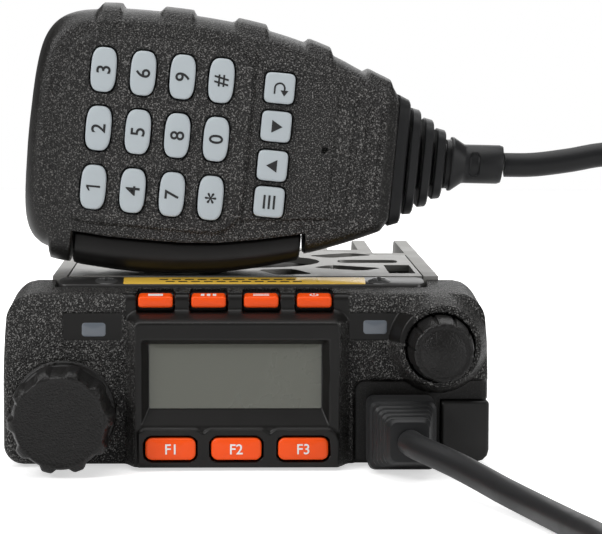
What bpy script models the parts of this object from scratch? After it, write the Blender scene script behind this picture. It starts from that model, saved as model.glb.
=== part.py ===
"""Compact mobile transceiver with its hand microphone and curly cord.

The frame: +X to the radio's right, +Y to its back, +Z up. The origin is on the
underside, midway between the sides. Sizes below are in millimetres, and the
helpers turn them into metres.
"""

from math import cos, pi, radians, sin, sqrt

import bmesh
import bpy
from mathutils import Matrix, Vector

MM = 0.001
GAP = 0.3  # running and mating clearance between neighbouring pieces

# ---------------------------------------------------------------- the radio
FACE_Y = -56.0  # front face of the panel
PANEL_BACK_Y = -44.0
PANEL_HALF = 49.0
PANEL_Z = (0.5, 36.0)
PANEL_WALL = 3.0
BLOCK_X = (-24.3, 20.8)  # raised display block
BLOCK_Z = (0.4, 29.9)
BLOCK_FRONT_Y = -60.5
GLASS_X = (-19.4, 15.0)  # visible area of the display
GLASS_Z = (12.3, 25.5)
GLASS_BORDER = 2.0  # recess round the visible area

CHASSIS_HALF = 39.7
CHASSIS_Y = (-43.7, 56.5)
CHASSIS_TOP = 37.7
CHASSIS_WALL = 3.0
FIN_TOP_RADIUS = 6.0
FIN_CENTRES = (-28.0, -18.0, -8.0, 8.0, 18.0, 28.0)
FIN_THICKNESS = 3.0
CHANNEL_FLOOR = 22.0
BAY_TOP = 17.0  # ceiling of the board bay under the fins
COVER_Z = (36.3, CHASSIS_TOP)  # the top cover

SPEAKER_Y = -8.0
SPEAKER_RADIUS = 31.0
POCKET_RADIUS = 33.0
COVER_RADIUS = 35.0
PETALS = 10
PETAL_RING = 27.0
PETAL_SIZE = (13.0, 8.0)
GRILLE_RADIUS = 16.5
COVER_BACK_Y = 9.0

TRIM_X = (-38.2, 36.5)
TRIM_Y = (-49.6, -44.2)
TRIM_Z = (36.3, 37.2)
SCREW_XY = ((-28.5, -46.9), (27.3, -46.9))

KNOB_FRONT_Y = -70.3
TUNING_AXIS = (-36.8, 11.1)
TUNING_RADIUS = 10.1
TUNING_LOBES = 10
VOLUME_AXIS = (38.8, 24.9)
VOLUME_RADIUS = 5.8
VOLUME_FLUTES = 10
SHROUD_RADIUS = 8.0
SHROUD_FRONT_Y = -61.0
SHAFT_RADIUS = 3.0
CONTROL_DEPTH = (-52.7, -46.7)

FRONT_BUTTON_X = (-15.2, -2.0, 11.4)
FRONT_BUTTON_Z = 4.5
FRONT_BUTTON_SIZE = (10.1, 4.5)
FRONT_BUTTON_Y = (-61.4, -54.0)
TOP_BUTTON_X = (-18.3, -7.6, 3.0, 13.7)
TOP_BUTTON_SIZE = (7.0, 3.0, 2.7)
TOP_BUTTON_CENTRE_Y = -54.6
TOP_BUTTON_TOP = 35.1
LED_CENTRES = {"left": (-30.7, 28.0), "right": (26.0, 28.5)}
LED_SIZE = (5.1, 3.1)

SOCKET_X = (25.2, 36.9)
SOCKET_Z = (4.3, 11.3)
PLUG_BOOT = (  # half width, half height, centre x, centre z and y, from the panel out
    (6.85, 7.0, 31.05, 7.8, FACE_Y - GAP),
    (6.85, 7.0, 31.05, 7.8, -65.0),
    (6.1, 6.3, 31.1, 8.0, -66.0),
    (4.8, 5.4, 31.5, 8.2, -74.0),
    (3.6, 3.9, 31.8, 8.0, -75.0),
)

# ------------------------------------------------------------ the microphone
MIC_TILT = 5.3  # degrees, cord end down
MIC_PLACE = (-6.3, -35.3, 65.3)
MIC_HALF = 13.5
MIC_ROUND = 4.5
MIC_WALL = 2.2
MIC_SEAM = 0.15  # from the parting plane to each shell
MIC_OUTLINE = (  # along the length and across it, cord end at the right
    (-38.4, -6.0), (-37.9, -16.5), (-35.2, -22.5), (-31.5, -26.2), (-24.0, -27.6),
    (-10.3, -27.4), (1.0, -26.4), (13.6, -24.2), (25.2, -20.0), (36.6, -14.6),
    (36.9, 0.6), (36.6, 13.9), (29.6, 16.6), (22.0, 20.3), (8.5, 23.8),
    (-6.6, 25.3), (-25.8, 25.2), (-31.3, 23.8), (-35.4, 21.0), (-37.4, 16.5),
    (-38.4, 8.0),
)
NUMBER_KEYS_U = (-23.8, -15.8, -7.8, 0.1)
NUMBER_KEYS_V = (-11.2, 0.8, 12.7)
NUMBER_KEY_NAMES = (
    ("key_1", "key_4", "key_7", "key_star"),
    ("key_2", "key_5", "key_8", "key_0"),
    ("key_3", "key_6", "key_9", "key_hash"),
)
NUMBER_KEY_SIZE = (5.3, 9.3)
MENU_KEYS = (("key_menu", -10.9), ("key_up", -3.5), ("key_down", 4.5), ("key_back", 12.3))
MENU_KEYS_U = 12.0
MENU_KEY_SIZE = (6.3, 6.3)
KEY_Y = (-14.5, -9.6)  # front and back of a key cap
MIC_BOARD_Y = (-7.5, -6.0)
PTT_OUTLINE = (
    (-26.9, -21.0), (-26.9, -27.9), (-25.0, -28.3), (-12.0, -27.9), (0.0, -27.3),
    (8.0, -25.8), (16.0, -24.2), (19.6, -23.2), (19.6, -21.0),
)
PTT_HALF = 10.9
PTT_SPAN = (-27.5, 20.2)  # the opening for the lever, along the microphone
PTT_LIP = -20.6  # lower edge of the lips in front of and behind the lever
PTT_ROOM = -18.2  # top of the room that the lever swings into
RELIEF_PROFILE = (  # distance along the microphone and radius, from the housing out
    (37.3, 12.4), (39.8, 12.0), (39.8, 6.6), (40.6, 6.6), (40.6, 10.9), (42.2, 10.5),
    (42.2, 5.8), (43.8, 5.8), (43.8, 9.2), (45.4, 8.9), (45.4, 5.2), (46.6, 5.2),
    (46.6, 7.3), (48.0, 7.0), (48.0, 4.8), (49.2, 4.8), (49.2, 5.4), (51.4, 4.05),
    (60.0, 4.05),
)
RELIEF_V = 0.6

# ------------------------------------------------------------------ the cord
CORD_RADIUS = 2.55
CURLY_RADIUS = 7.0
MIC_TAIL_ROUTE = (
    (54.0, -35.3, 60.3), (60.1, -35.3, 59.75), (67.5, -35.8, 60.4), (75.0, -36.5, 61.6),
    (84.0, -37.5, 61.5), (93.0, -38.5, 58.5), (101.0, -39.0, 52.0), (107.0, -39.0, 43.0),
    (111.5, -37.5, 33.0), (114.6, -36.5, 23.0), (116.8, -37.5, 14.0), (117.9, -42.0, 8.6),
    (118.1, -47.0, 7.2), (118.0, -52.0, 7.1),
)
CURLY_ENDS = ((118.0, -52.6, 7.1), (113.5, -170.0, 7.1))
PLUG_TAIL_ROUTE = (
    (31.8, -75.3, 8.0), (31.9, -77.8, 7.9), (35.8, -83.5, 7.0), (40.1, -89.5, 5.8),
    (43.7, -97.0, 4.7), (46.6, -105.0, 3.8), (51.8, -118.5, 2.8), (56.0, -135.0, 2.6),
    (58.9, -145.5, 2.6), (61.6, -163.0, 2.6), (66.0, -182.0, 2.6), (75.0, -197.5, 2.6),
    (88.0, -203.5, 2.6), (101.0, -199.5, 2.9), (109.5, -189.0, 4.2), (113.2, -177.5, 6.2),
    (113.4, -170.3, 7.1),
)

parts = None
cutters = None


# ------------------------------------------------------------------ helpers
def clear_scene():
    """Remove what the file holds, so that the script starts from nothing."""
    for thing in list(bpy.data.objects):
        bpy.data.objects.remove(thing, do_unlink=True)
    for group in list(bpy.data.collections):
        bpy.data.collections.remove(group)


def make_collection(name):
    group = bpy.data.collections.new(name)
    bpy.context.scene.collection.children.link(group)
    return group


def dress(thing, colour, roughness=0.5, metallic=0.0):
    """Give an object a material of its own."""
    material = bpy.data.materials.new(thing.name + "_material")
    material.use_nodes = True
    shader = material.node_tree.nodes["Principled BSDF"]
    shader.inputs["Base Color"].default_value = (*colour, 1.0)
    shader.inputs["Roughness"].default_value = roughness
    shader.inputs["Metallic"].default_value = metallic
    thing.data.materials.clear()
    thing.data.materials.append(material)
    return thing


def add_mesh(name, mesh, place=(0, 0, 0), group=None):
    """Link a mesh as an object whose origin is at a place in millimetres."""
    thing = bpy.data.objects.new(name, mesh)
    thing.location = Vector(place) * MM
    (group or parts).objects.link(thing)
    return thing


def box(name, xs, ys, zs, group=None):
    """A block between two limits on each axis, with its origin in the middle."""
    size = [(high - low) * MM for low, high in (xs, ys, zs)]
    centre = [(low + high) / 2 for low, high in (xs, ys, zs)]
    shape = bmesh.new()
    bmesh.ops.create_cube(shape, size=1.0, matrix=Matrix.Diagonal((*size, 1.0)))
    mesh = bpy.data.meshes.new(name)
    shape.to_mesh(mesh)
    shape.free()
    return add_mesh(name, mesh, centre, group)


def cylinder(name, radius, centre, span, axis="Y", sides=24, group=None):
    """A cylinder along an axis. centre holds the two other coordinates in X, Y, Z order."""
    length = span[1] - span[0]
    middle = (span[0] + span[1]) / 2
    turn = {"X": Matrix.Rotation(pi / 2, 4, "Y"), "Y": Matrix.Rotation(pi / 2, 4, "X"),
            "Z": Matrix.Identity(4)}[axis]
    place = {"X": (middle, *centre), "Y": (centre[0], middle, centre[1]),
             "Z": (*centre, middle)}[axis]
    shape = bmesh.new()
    bmesh.ops.create_cone(shape, cap_ends=True, segments=sides, radius1=radius * MM,
                          radius2=radius * MM, depth=length * MM, matrix=turn)
    mesh = bpy.data.meshes.new(name)
    shape.to_mesh(mesh)
    shape.free()
    return add_mesh(name, mesh, place, group)


def rounded_outline(width, height, radii, steps=3):
    """A rectangle about the origin with round corners, counter-clockwise from the
    lower left. radii holds one radius, or one for each corner in that order."""
    if not isinstance(radii, tuple):
        radii = (radii,) * 4
    corners = ((-1, -1, pi), (1, -1, 1.5 * pi), (1, 1, 0.0), (-1, 1, 0.5 * pi))
    points = []
    for (side_x, side_y, start), radius in zip(corners, radii):
        middle_x = side_x * (width / 2 - radius)
        middle_y = side_y * (height / 2 - radius)
        for step in range(steps + 1):
            angle = start + 0.5 * pi * step / steps
            points.append((middle_x + radius * cos(angle), middle_y + radius * sin(angle)))
    return points


def lobed_outline(radius, lift, lobes, points_per_lobe=6):
    """A circle whose radius rises to broad grips."""
    count = lobes * points_per_lobe
    points = []
    for index in range(count):
        angle = 2 * pi * index / count
        reach = radius + lift * max(-0.6, min(0.6, cos(lobes * angle))) / 0.6
        points.append((reach * cos(angle), reach * sin(angle)))
    return points


def curve_to_mesh(curve_object, group=None):
    """Replace a curve object with a welded mesh object of the same name and place."""
    bpy.context.view_layer.update()
    seen = curve_object.evaluated_get(bpy.context.evaluated_depsgraph_get())
    mesh = bpy.data.meshes.new_from_object(seen)
    weld = bmesh.new()
    weld.from_mesh(mesh)
    bmesh.ops.remove_doubles(weld, verts=weld.verts, dist=1e-6)
    weld.to_mesh(mesh)
    weld.free()
    name = curve_object.name
    matrix = curve_object.matrix_world.copy()
    bpy.data.objects.remove(curve_object, do_unlink=True)
    thing = bpy.data.objects.new(name, mesh)
    thing.matrix_world = matrix
    (group or parts).objects.link(thing)
    return thing


def flat_curve(name, outline, half_depth, edge=0.0, edge_steps=1):
    """A closed 2D outline extruded both ways, with its edges rounded by edge."""
    curve = bpy.data.curves.new(name, "CURVE")
    curve.dimensions = "2D"
    curve.fill_mode = "BOTH"
    curve.extrude = (half_depth - edge) * MM
    curve.bevel_depth = edge * MM
    curve.bevel_resolution = edge_steps
    curve.offset = -edge * MM
    spline = curve.splines.new("POLY")
    spline.points.add(len(outline) - 1)
    for point, (across, up) in zip(spline.points, outline):
        point.co = (across * MM, up * MM, 0.0, 1.0)
    spline.use_cyclic_u = True
    return curve


def upright_prism(name, outline, centre, ys, group=None, edge=0.0):
    """An outline seen from the front, carried along Y. centre is its X and Z."""
    half = (ys[1] - ys[0]) / 2
    curve = flat_curve(name, outline, half, edge)
    thing = bpy.data.objects.new(name, curve)
    thing.rotation_euler = (pi / 2, 0.0, 0.0)
    thing.location = Vector((centre[0], (ys[0] + ys[1]) / 2, centre[1])) * MM
    (group or parts).objects.link(thing)
    return curve_to_mesh(thing, group)


def level_prism(name, outline, centre, zs, group=None):
    """An outline seen from above, carried along Z. centre is its X and Y."""
    curve = flat_curve(name, outline, (zs[1] - zs[0]) / 2)
    thing = bpy.data.objects.new(name, curve)
    thing.location = Vector((centre[0], centre[1], (zs[0] + zs[1]) / 2)) * MM
    (group or parts).objects.link(thing)
    return curve_to_mesh(thing, group)


def side_prism(name, outline, xs):
    """An outline of Y and Z carried along X."""
    curve = flat_curve(name, outline, (xs[1] - xs[0]) / 2)
    thing = bpy.data.objects.new(name, curve)
    thing.rotation_euler = (pi / 2, 0.0, pi / 2)
    thing.location = Vector(((xs[0] + xs[1]) / 2, 0.0, 0.0)) * MM
    parts.objects.link(thing)
    return curve_to_mesh(thing)


def turned(name, profile, place, axis, sides=16):
    """Spin a profile of (distance, radius) pairs about an axis, closed at both ends."""
    mesh = bpy.data.meshes.new(name)
    shape = bmesh.new()
    line = [(profile[0][0], 0.0), *profile, (profile[-1][0], 0.0)]
    points = [shape.verts.new((radius * MM, 0.0, -along * MM)) for along, radius in line]
    for first, second in zip(points, points[1:]):
        shape.edges.new((first, second))
    shape.to_mesh(mesh)
    shape.free()
    thing = add_mesh(name, mesh, place)
    thing.rotation_euler = Vector((0, 0, -1)).rotation_difference(Vector(axis)).to_euler()
    spin = thing.modifiers.new("turn", "SCREW")
    spin.axis = "Z"
    spin.steps = sides
    spin.render_steps = sides
    spin.use_merge_vertices = True
    spin.merge_threshold = 0.000001
    return thing


def shape_with(thing, tool, operation):
    """Add a Boolean modifier and put its tool out of sight."""
    modifier = thing.modifiers.new(tool.name, "BOOLEAN")
    modifier.operation = operation
    modifier.solver = "EXACT"
    modifier.object = tool
    tool.hide_render = True
    tool.display_type = "WIRE"


def cut(thing, *tools):
    for tool in tools:
        shape_with(thing, tool, "DIFFERENCE")


def fuse(thing, *tools):
    for tool in tools:
        shape_with(thing, tool, "UNION")


def smooth_route(points, spacing):
    """Points spaced along a Catmull-Rom curve through a route's own points, with one
    more close to each end, so that the end faces look straight out of the route."""
    route = [Vector(point) for point in points]
    stubs = [route[0].lerp(route[1], 0.9), route[-1].lerp(route[-2], 0.5)]
    route = [2 * route[0] - route[1], *route, 2 * route[-1] - route[-2]]
    dense = []
    for before, start, end, after in zip(route, route[1:], route[2:], route[3:]):
        for step in range(12):
            part = step / 12
            dense.append(0.5 * (2 * start + (end - before) * part
                                + (2 * before - 5 * start + 4 * end - after) * part ** 2
                                + (3 * start - before - 3 * end + after) * part ** 3))
    dense.append(route[-2])
    lengths = [(second - first).length for first, second in zip(dense, dense[1:])]
    total = sum(lengths)
    count = max(2, round(total / spacing))
    wanted = [total * index / count for index in range(count + 1)]
    kept = []
    travelled = 0.0
    index = 0
    for target in wanted:
        while index < len(lengths) - 1 and travelled + lengths[index] < target:
            travelled += lengths[index]
            index += 1
        part = min(1.0, (target - travelled) / lengths[index])
        kept.append(dense[index].lerp(dense[index + 1], part))
    return [kept[0], stubs[0], *kept[1:-1], stubs[1], kept[-1]]


def tube(name, points, radius):
    """A round tube along points, closed at both ends."""
    curve = bpy.data.curves.new(name, "CURVE")
    curve.dimensions = "3D"
    curve.bevel_depth = radius * MM
    curve.bevel_resolution = 2
    curve.use_fill_caps = True
    spline = curve.splines.new("POLY")
    spline.points.add(len(points) - 1)
    for point, place in zip(spline.points, points):
        point.co = (*(Vector(place) * MM), 1.0)
    thing = bpy.data.objects.new(name, curve)
    parts.objects.link(thing)
    return curve_to_mesh(thing)


# -------------------------------------------------------------------- radio
DARK = (0.022, 0.021, 0.020)
ORANGE = (0.95, 0.10, 0.02)
CAST = (0.42, 0.42, 0.41)
KEY_GREY = (0.43, 0.50, 0.53)
BOARD_GREEN = (0.02, 0.12, 0.05)


def build_chassis():
    """The cast body: board bay below, speaker pocket in front, fins behind."""
    front, back = CHASSIS_Y
    corner = FIN_TOP_RADIUS
    outline = [(front, 0.0), (back, 0.0)]
    outline += [(back - corner + corner * cos(0.5 * pi * step / 4),
                 CHASSIS_TOP - corner + corner * sin(0.5 * pi * step / 4)) for step in range(5)]
    outline += [(front, CHASSIS_TOP)]
    chassis = side_prism("chassis", outline, (-CHASSIS_HALF, CHASSIS_HALF))
    inner = CHASSIS_HALF - CHASSIS_WALL
    cut(chassis,
        box("plate_rebate", (1 - CHASSIS_HALF, CHASSIS_HALF - 1), (front + 1.5, back - 1.5),
            (-1, 1.8), cutters),
        box("board_bay", (-inner, inner), (front - 1, 50), (1.5, BAY_TOP), cutters),
        box("upper_bay", (1.7 - inner, inner - 1.7), (front - 1, COVER_BACK_Y),
            (BAY_TOP - 1, 36), cutters),
        cylinder("speaker_pocket", POCKET_RADIUS, (0, SPEAKER_Y), (BAY_TOP - 1, 36), "Z", 32,
                 cutters),
        box("cover_seat", (-inner, inner), (front - 1, COVER_BACK_Y + GAP), (35.9, 39), cutters),
        cylinder("cover_seat_back", COVER_RADIUS + GAP, (0, SPEAKER_Y), (35.9, 39), "Z", 32,
                 cutters))
    half = FIN_THICKNESS / 2
    edges = [-inner - half, *FIN_CENTRES, inner + half]
    for number, (left, right) in enumerate(zip(edges, edges[1:])):
        low, high = left + half, right - half
        nearest = 0.0 if low < 0 < high else min(abs(low), abs(high))
        start = SPEAKER_Y + sqrt(max(0.0, (COVER_RADIUS + 1.8) ** 2 - nearest ** 2))
        cut(chassis, box("channel_%d" % number, (low, high), (start, back + 2),
                         (CHANNEL_FLOOR, 40), cutters))
    cut(chassis,
        cylinder("antenna_hole", 5.3, (-22, 10), (48, 58), "Y", 16, cutters),
        cylinder("jack_hole", 3.5, (3, 10), (48, 58), "Y", 12, cutters),
        cylinder("inlet_hole", 5.0, (24, 10), (48, 58), "Y", 16, cutters))
    dress(chassis, CAST, 0.45, 0.8)


def build_covers():
    """The bottom plate, the perforated top cover and the trim sheet with its label."""
    front, back = CHASSIS_Y
    plate = box("bottom_plate", (1.3 - CHASSIS_HALF, CHASSIS_HALF - 1.3),
                (front + 1.8, back - 1.8), (0, 1.2))
    dress(plate, CAST, 0.4, 0.8)

    inner = CHASSIS_HALF - CHASSIS_WALL - GAP
    outline = [(-inner, front + 0.4), (inner, front + 0.4), (inner, COVER_BACK_Y)]
    rise = COVER_BACK_Y - SPEAKER_Y
    reach = sqrt(COVER_RADIUS ** 2 - rise ** 2)
    start = Vector((1, 0)).angle(Vector((reach, rise)))
    for step in range(13):
        angle = start + (pi - 2 * start) * step / 12
        outline.append((COVER_RADIUS * cos(angle), SPEAKER_Y + COVER_RADIUS * sin(angle)))
    outline.append((-inner, COVER_BACK_Y))
    cover = level_prism("top_cover", outline, (0, 0), COVER_Z)
    cut(cover, cylinder("grille_centre", GRILLE_RADIUS, (0, SPEAKER_Y), (35, 39), "Z", 24,
                        cutters),
        box("screw_window", (30, 35.5), (-37, -17), (35, 39), cutters))
    for number in range(PETALS):
        petal = level_prism("petal_%d" % number, rounded_outline(*PETAL_SIZE, 1.8, 2),
                            (0, 0), (35, 39), cutters)
        angle = 2 * pi * number / PETALS
        petal.rotation_euler = (0, 0, angle)
        petal.location = Vector((PETAL_RING * cos(angle), SPEAKER_Y + PETAL_RING * sin(angle),
                                 37)) * MM
        cut(cover, petal)
    dress(cover, CAST, 0.4, 0.8)

    width = TRIM_X[1] - TRIM_X[0]
    depth = TRIM_Y[1] - TRIM_Y[0]
    centre = (sum(TRIM_X) / 2, sum(TRIM_Y) / 2)
    trim = level_prism("trim_plate", rounded_outline(width, depth, 2.0), centre, TRIM_Z)
    for side, (across, along) in zip(("left", "right"), SCREW_XY):
        cut(trim, cylinder("screw_hole_" + side, 1.8, (across, along), (35, 39), "Z", 12,
                           cutters))
        screw = turned("trim_screw_" + side, [(-0.6, 1.5), (-0.6, 2.4), (0.0, 2.4), (0.0, 1.5)],
                       (across, along, TRIM_Z[1] + GAP), (0, 0, -1), 12)
        screw.location.z = (TRIM_Z[1] + GAP) * MM
        dress(screw, (0.55, 0.55, 0.55), 0.3, 1.0)
    dress(trim, CAST, 0.4, 0.8)
    label = box("label_strip", (-25.0, 24.4), (-49.2, -44.7),
                (TRIM_Z[1] + 0.05, TRIM_Z[1] + 0.2))
    dress(label, (0.85, 0.62, 0.12), 0.5)


def build_panel():
    """The moulded front panel with its openings."""
    width = 2 * PANEL_HALF
    height = PANEL_Z[1] - PANEL_Z[0]
    middle = sum(PANEL_Z) / 2
    panel = upright_prism("front_panel", rounded_outline(width, height, (3.0, 3.0, 6.0, 6.0)),
                          (0, middle), (FACE_Y, PANEL_BACK_Y))
    block_width = BLOCK_X[1] - BLOCK_X[0]
    block_height = BLOCK_Z[1] - BLOCK_Z[0]
    block_centre = (sum(BLOCK_X) / 2, sum(BLOCK_Z) / 2)
    fuse(panel,
         upright_prism("display_block", rounded_outline(block_width, block_height, 1.5, 2),
                       block_centre, (BLOCK_FRONT_Y, FACE_Y + 1), cutters),
         cylinder("volume_shroud", SHROUD_RADIUS, VOLUME_AXIS, (SHROUD_FRONT_Y, FACE_Y + 1),
                  "Y", 24, cutters))
    glass_low = (GLASS_X[0] - GLASS_BORDER, GLASS_Z[0] - GLASS_BORDER)
    glass_high = (GLASS_X[1] + GLASS_BORDER, GLASS_Z[1] + GLASS_BORDER)
    cut(panel,
        box("panel_hollow", (PANEL_WALL - PANEL_HALF, PANEL_HALF - PANEL_WALL),
            (FACE_Y + PANEL_WALL, PANEL_BACK_Y + 1),
            (PANEL_Z[0] + PANEL_WALL, PANEL_Z[1] - PANEL_WALL), cutters),
        box("display_hollow", (-22.3, 18.8), (-57.0, FACE_Y + PANEL_WALL + 1), (9.0, 28.4),
            cutters),
        box("glass_recess", (glass_low[0], glass_high[0]), (BLOCK_FRONT_Y - 1, -58.3),
            (glass_low[1], glass_high[1]), cutters),
        box("glass_window", GLASS_X, (-60, -56), GLASS_Z, cutters),
        cylinder("tuning_hole", SHAFT_RADIUS + 0.5, TUNING_AXIS, (-58, -52), "Y", 16, cutters),
        cylinder("volume_hole", SHAFT_RADIUS + 0.5, VOLUME_AXIS, (-58, -52), "Y", 16, cutters),
        cylinder("shroud_bore", SHROUD_RADIUS - 1.1, VOLUME_AXIS, (-62, FACE_Y), "Y", 24,
                 cutters),
        box("socket_opening", SOCKET_X, (-58, -52), SOCKET_Z, cutters),
        box("corner_seat", (39.1, 50), (-58, -53.5), (0, 13.9), cutters))
    for number, centre in enumerate(FRONT_BUTTON_X):
        half = FRONT_BUTTON_SIZE[0] / 2 + GAP
        tall = FRONT_BUTTON_SIZE[1] / 2 + GAP
        cut(panel, box("front_button_hole_%d" % number, (centre - half, centre + half),
                       (-62, -52), (FRONT_BUTTON_Z - tall, FRONT_BUTTON_Z + tall), cutters))
    for number, centre in enumerate(TOP_BUTTON_X):
        half = TOP_BUTTON_SIZE[0] / 2 + GAP
        back = TOP_BUTTON_CENTRE_Y + TOP_BUTTON_SIZE[1] / 2 + GAP
        cut(panel, box("top_button_notch_%d" % number, (centre - half, centre + half),
                       (-58, back), (31.2, 38), cutters))
    for side, (across, up) in LED_CENTRES.items():
        half = LED_SIZE[0] / 2 + GAP
        tall = LED_SIZE[1] / 2 + GAP
        cut(panel, box("led_hole_" + side, (across - half, across + half), (-58, -52),
                       (up - tall, up + tall), cutters))
    dress(panel, DARK, 0.6)


def build_panel_fittings():
    """What the front panel carries: display, lamps, boards, controls and sockets."""
    border = GLASS_BORDER - GAP
    window = box("display_window", (GLASS_X[0] - border, GLASS_X[1] + border), (-59.4, -58.6),
                 (GLASS_Z[0] - border, GLASS_Z[1] + border))
    dress(window, (0.13, 0.135, 0.11), 0.15)
    dress(box("display_module", (-21.8, 18.3), (-56.7, -50.0), (9.4, 28.0)),
          (0.3, 0.3, 0.3), 0.4)
    dress(box("control_board", (-45, 45), (-46.3, -44.9), (4.2, 32.3)), BOARD_GREEN, 0.5)
    for side, (across, up) in LED_CENTRES.items():
        lens = upright_prism("led_lens_" + side, rounded_outline(*LED_SIZE, 0.8, 2),
                             (across, up), (FACE_Y - 0.4, -53.4))
        dress(lens, (0.11, 0.14, 0.17), 0.2)
    for name, (across, up), half in (("tuning_encoder", TUNING_AXIS, 6.0),
                                     ("volume_control", VOLUME_AXIS, 5.0)):
        body = box(name, (across - half, across + half), CONTROL_DEPTH, (up - half, up + half))
        cut(body, cylinder(name + "_bore", SHAFT_RADIUS + GAP, (across, up), (-54, -47.6), "Y",
                           16, cutters))
        dress(body, (0.45, 0.45, 0.45), 0.35, 0.7)
    socket = box("mic_socket", (23.4, 38.4), CONTROL_DEPTH, (3.8, 13.2))
    cut(socket, box("socket_bore", SOCKET_X, (-54, -47.4), SOCKET_Z, cutters))
    dress(socket, DARK, 0.5)
    block = upright_prism("corner_block", rounded_outline(9.7, 12.4, (1.0, 2.5, 0.6, 0.6)),
                          (44.3, 7.3), (-56.9, -53.8))
    dress(block, DARK, 0.45)


def build_inside():
    """The main board and the speaker."""
    dress(box("main_board", (-35, 35), (-41, 48), (5.0, 6.6)), BOARD_GREEN, 0.5)
    speaker = turned("speaker",
                     [(-12.0, 11.0), (-12.0, 19.0), (-6.0, 19.0), (-1.5, SPEAKER_RADIUS - 2),
                      (0.0, SPEAKER_RADIUS), (0.0, SPEAKER_RADIUS - 2), (-6.5, 9.0),
                      (-4.5, 4.5)],
                     (0, SPEAKER_Y, 35.4), (0, 0, 1), 24)
    dress(speaker, (0.03, 0.03, 0.03), 0.7)


def build_rear():
    """The sockets in the back wall."""
    back = CHASSIS_Y[1] + GAP
    antenna = turned("antenna_socket",
                     [(-7.5, 5.0), (0.0, 5.0), (0.0, 9.0), (1.6, 9.0), (1.6, 7.9),
                      (15.0, 7.9), (15.0, 6.2), (9.0, 6.2)],
                     (-22, back, 10), (0, 1, 0), 16)
    dress(antenna, (0.6, 0.6, 0.58), 0.3, 1.0)
    jack = turned("speaker_jack",
                  [(-7.5, 3.2), (0.0, 3.2), (0.0, 4.2), (1.6, 4.2), (1.6, 1.8), (-5.0, 1.8)],
                  (3, back, 10), (0, 1, 0), 12)
    dress(jack, DARK, 0.5)
    inlet = turned("power_inlet",
                   [(-7.5, 4.7), (0.0, 4.7), (0.0, 6.5), (2.2, 6.5), (3.4, 5.2), (3.4, 2.6),
                    (-6.0, 2.6)],
                   (24, back, 10), (0, 1, 0), 16)
    dress(inlet, DARK, 0.7)


def build_controls():
    """The knobs and buttons of the radio."""
    for name, axis, radius, lift, lobes, back in (
            ("tuning_knob", TUNING_AXIS, TUNING_RADIUS, 0.4, TUNING_LOBES, FACE_Y - 0.6),
            ("volume_knob", VOLUME_AXIS, VOLUME_RADIUS, 0.25, VOLUME_FLUTES, FACE_Y - 0.6)):
        knob = upright_prism(name, lobed_outline(radius, lift, lobes), axis,
                             (KNOB_FRONT_Y, back))
        fuse(knob, cylinder(name + "_shaft", SHAFT_RADIUS, axis, (back - 1, -48.0), "Y", 16,
                            cutters))
        dress(knob, DARK, 0.55)
    for number, centre in enumerate(FRONT_BUTTON_X, start=1):
        button = upright_prism("front_button_%d" % number,
                               rounded_outline(*FRONT_BUTTON_SIZE, 1.3),
                               (centre, FRONT_BUTTON_Z), FRONT_BUTTON_Y)
        dress(button, ORANGE, 0.35)
    width, depth, height = TOP_BUTTON_SIZE
    for number, centre in enumerate(TOP_BUTTON_X, start=1):
        button = upright_prism("top_button_%d" % number, rounded_outline(width, height, 0.8, 2),
                               (centre, TOP_BUTTON_TOP - height / 2),
                               (TOP_BUTTON_CENTRE_Y - depth / 2, TOP_BUTTON_CENTRE_Y + depth / 2))
        dress(button, ORANGE, 0.35)


def build_plug():
    """The moulded plug of the cord: a stepped boot and its connector."""
    shape = bmesh.new()
    rings = []
    for half_width, half_height, middle_x, middle_z, along in PLUG_BOOT:
        outline = rounded_outline(2 * half_width, 2 * half_height, 1.2, 2)
        rings.append([shape.verts.new(((middle_x + across) * MM, along * MM,
                                       (middle_z + up) * MM)) for across, up in outline])
    count = len(rings[0])
    for near, far in zip(rings, rings[1:]):
        for index in range(count):
            after = (index + 1) % count
            shape.faces.new((near[index], near[after], far[after], far[index]))
    shape.faces.new(rings[0])
    shape.faces.new(rings[-1])
    bmesh.ops.recalc_face_normals(shape, faces=shape.faces)
    mesh = bpy.data.meshes.new("plug_boot")
    shape.to_mesh(mesh)
    shape.free()
    dress(add_mesh("plug_boot", mesh), (0.03, 0.03, 0.032), 0.6)
    connector = box("plug_connector", (SOCKET_X[0] + GAP, SOCKET_X[1] - GAP), (FACE_Y, -48.0),
                    (SOCKET_Z[0] + GAP, SOCKET_Z[1] - GAP))
    dress(connector, (0.6, 0.6, 0.62), 0.2)


# --------------------------------------------------------------- microphone
def scaled(outline, along, across):
    return [(u * along, v * across) for u, v in outline]


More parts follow.
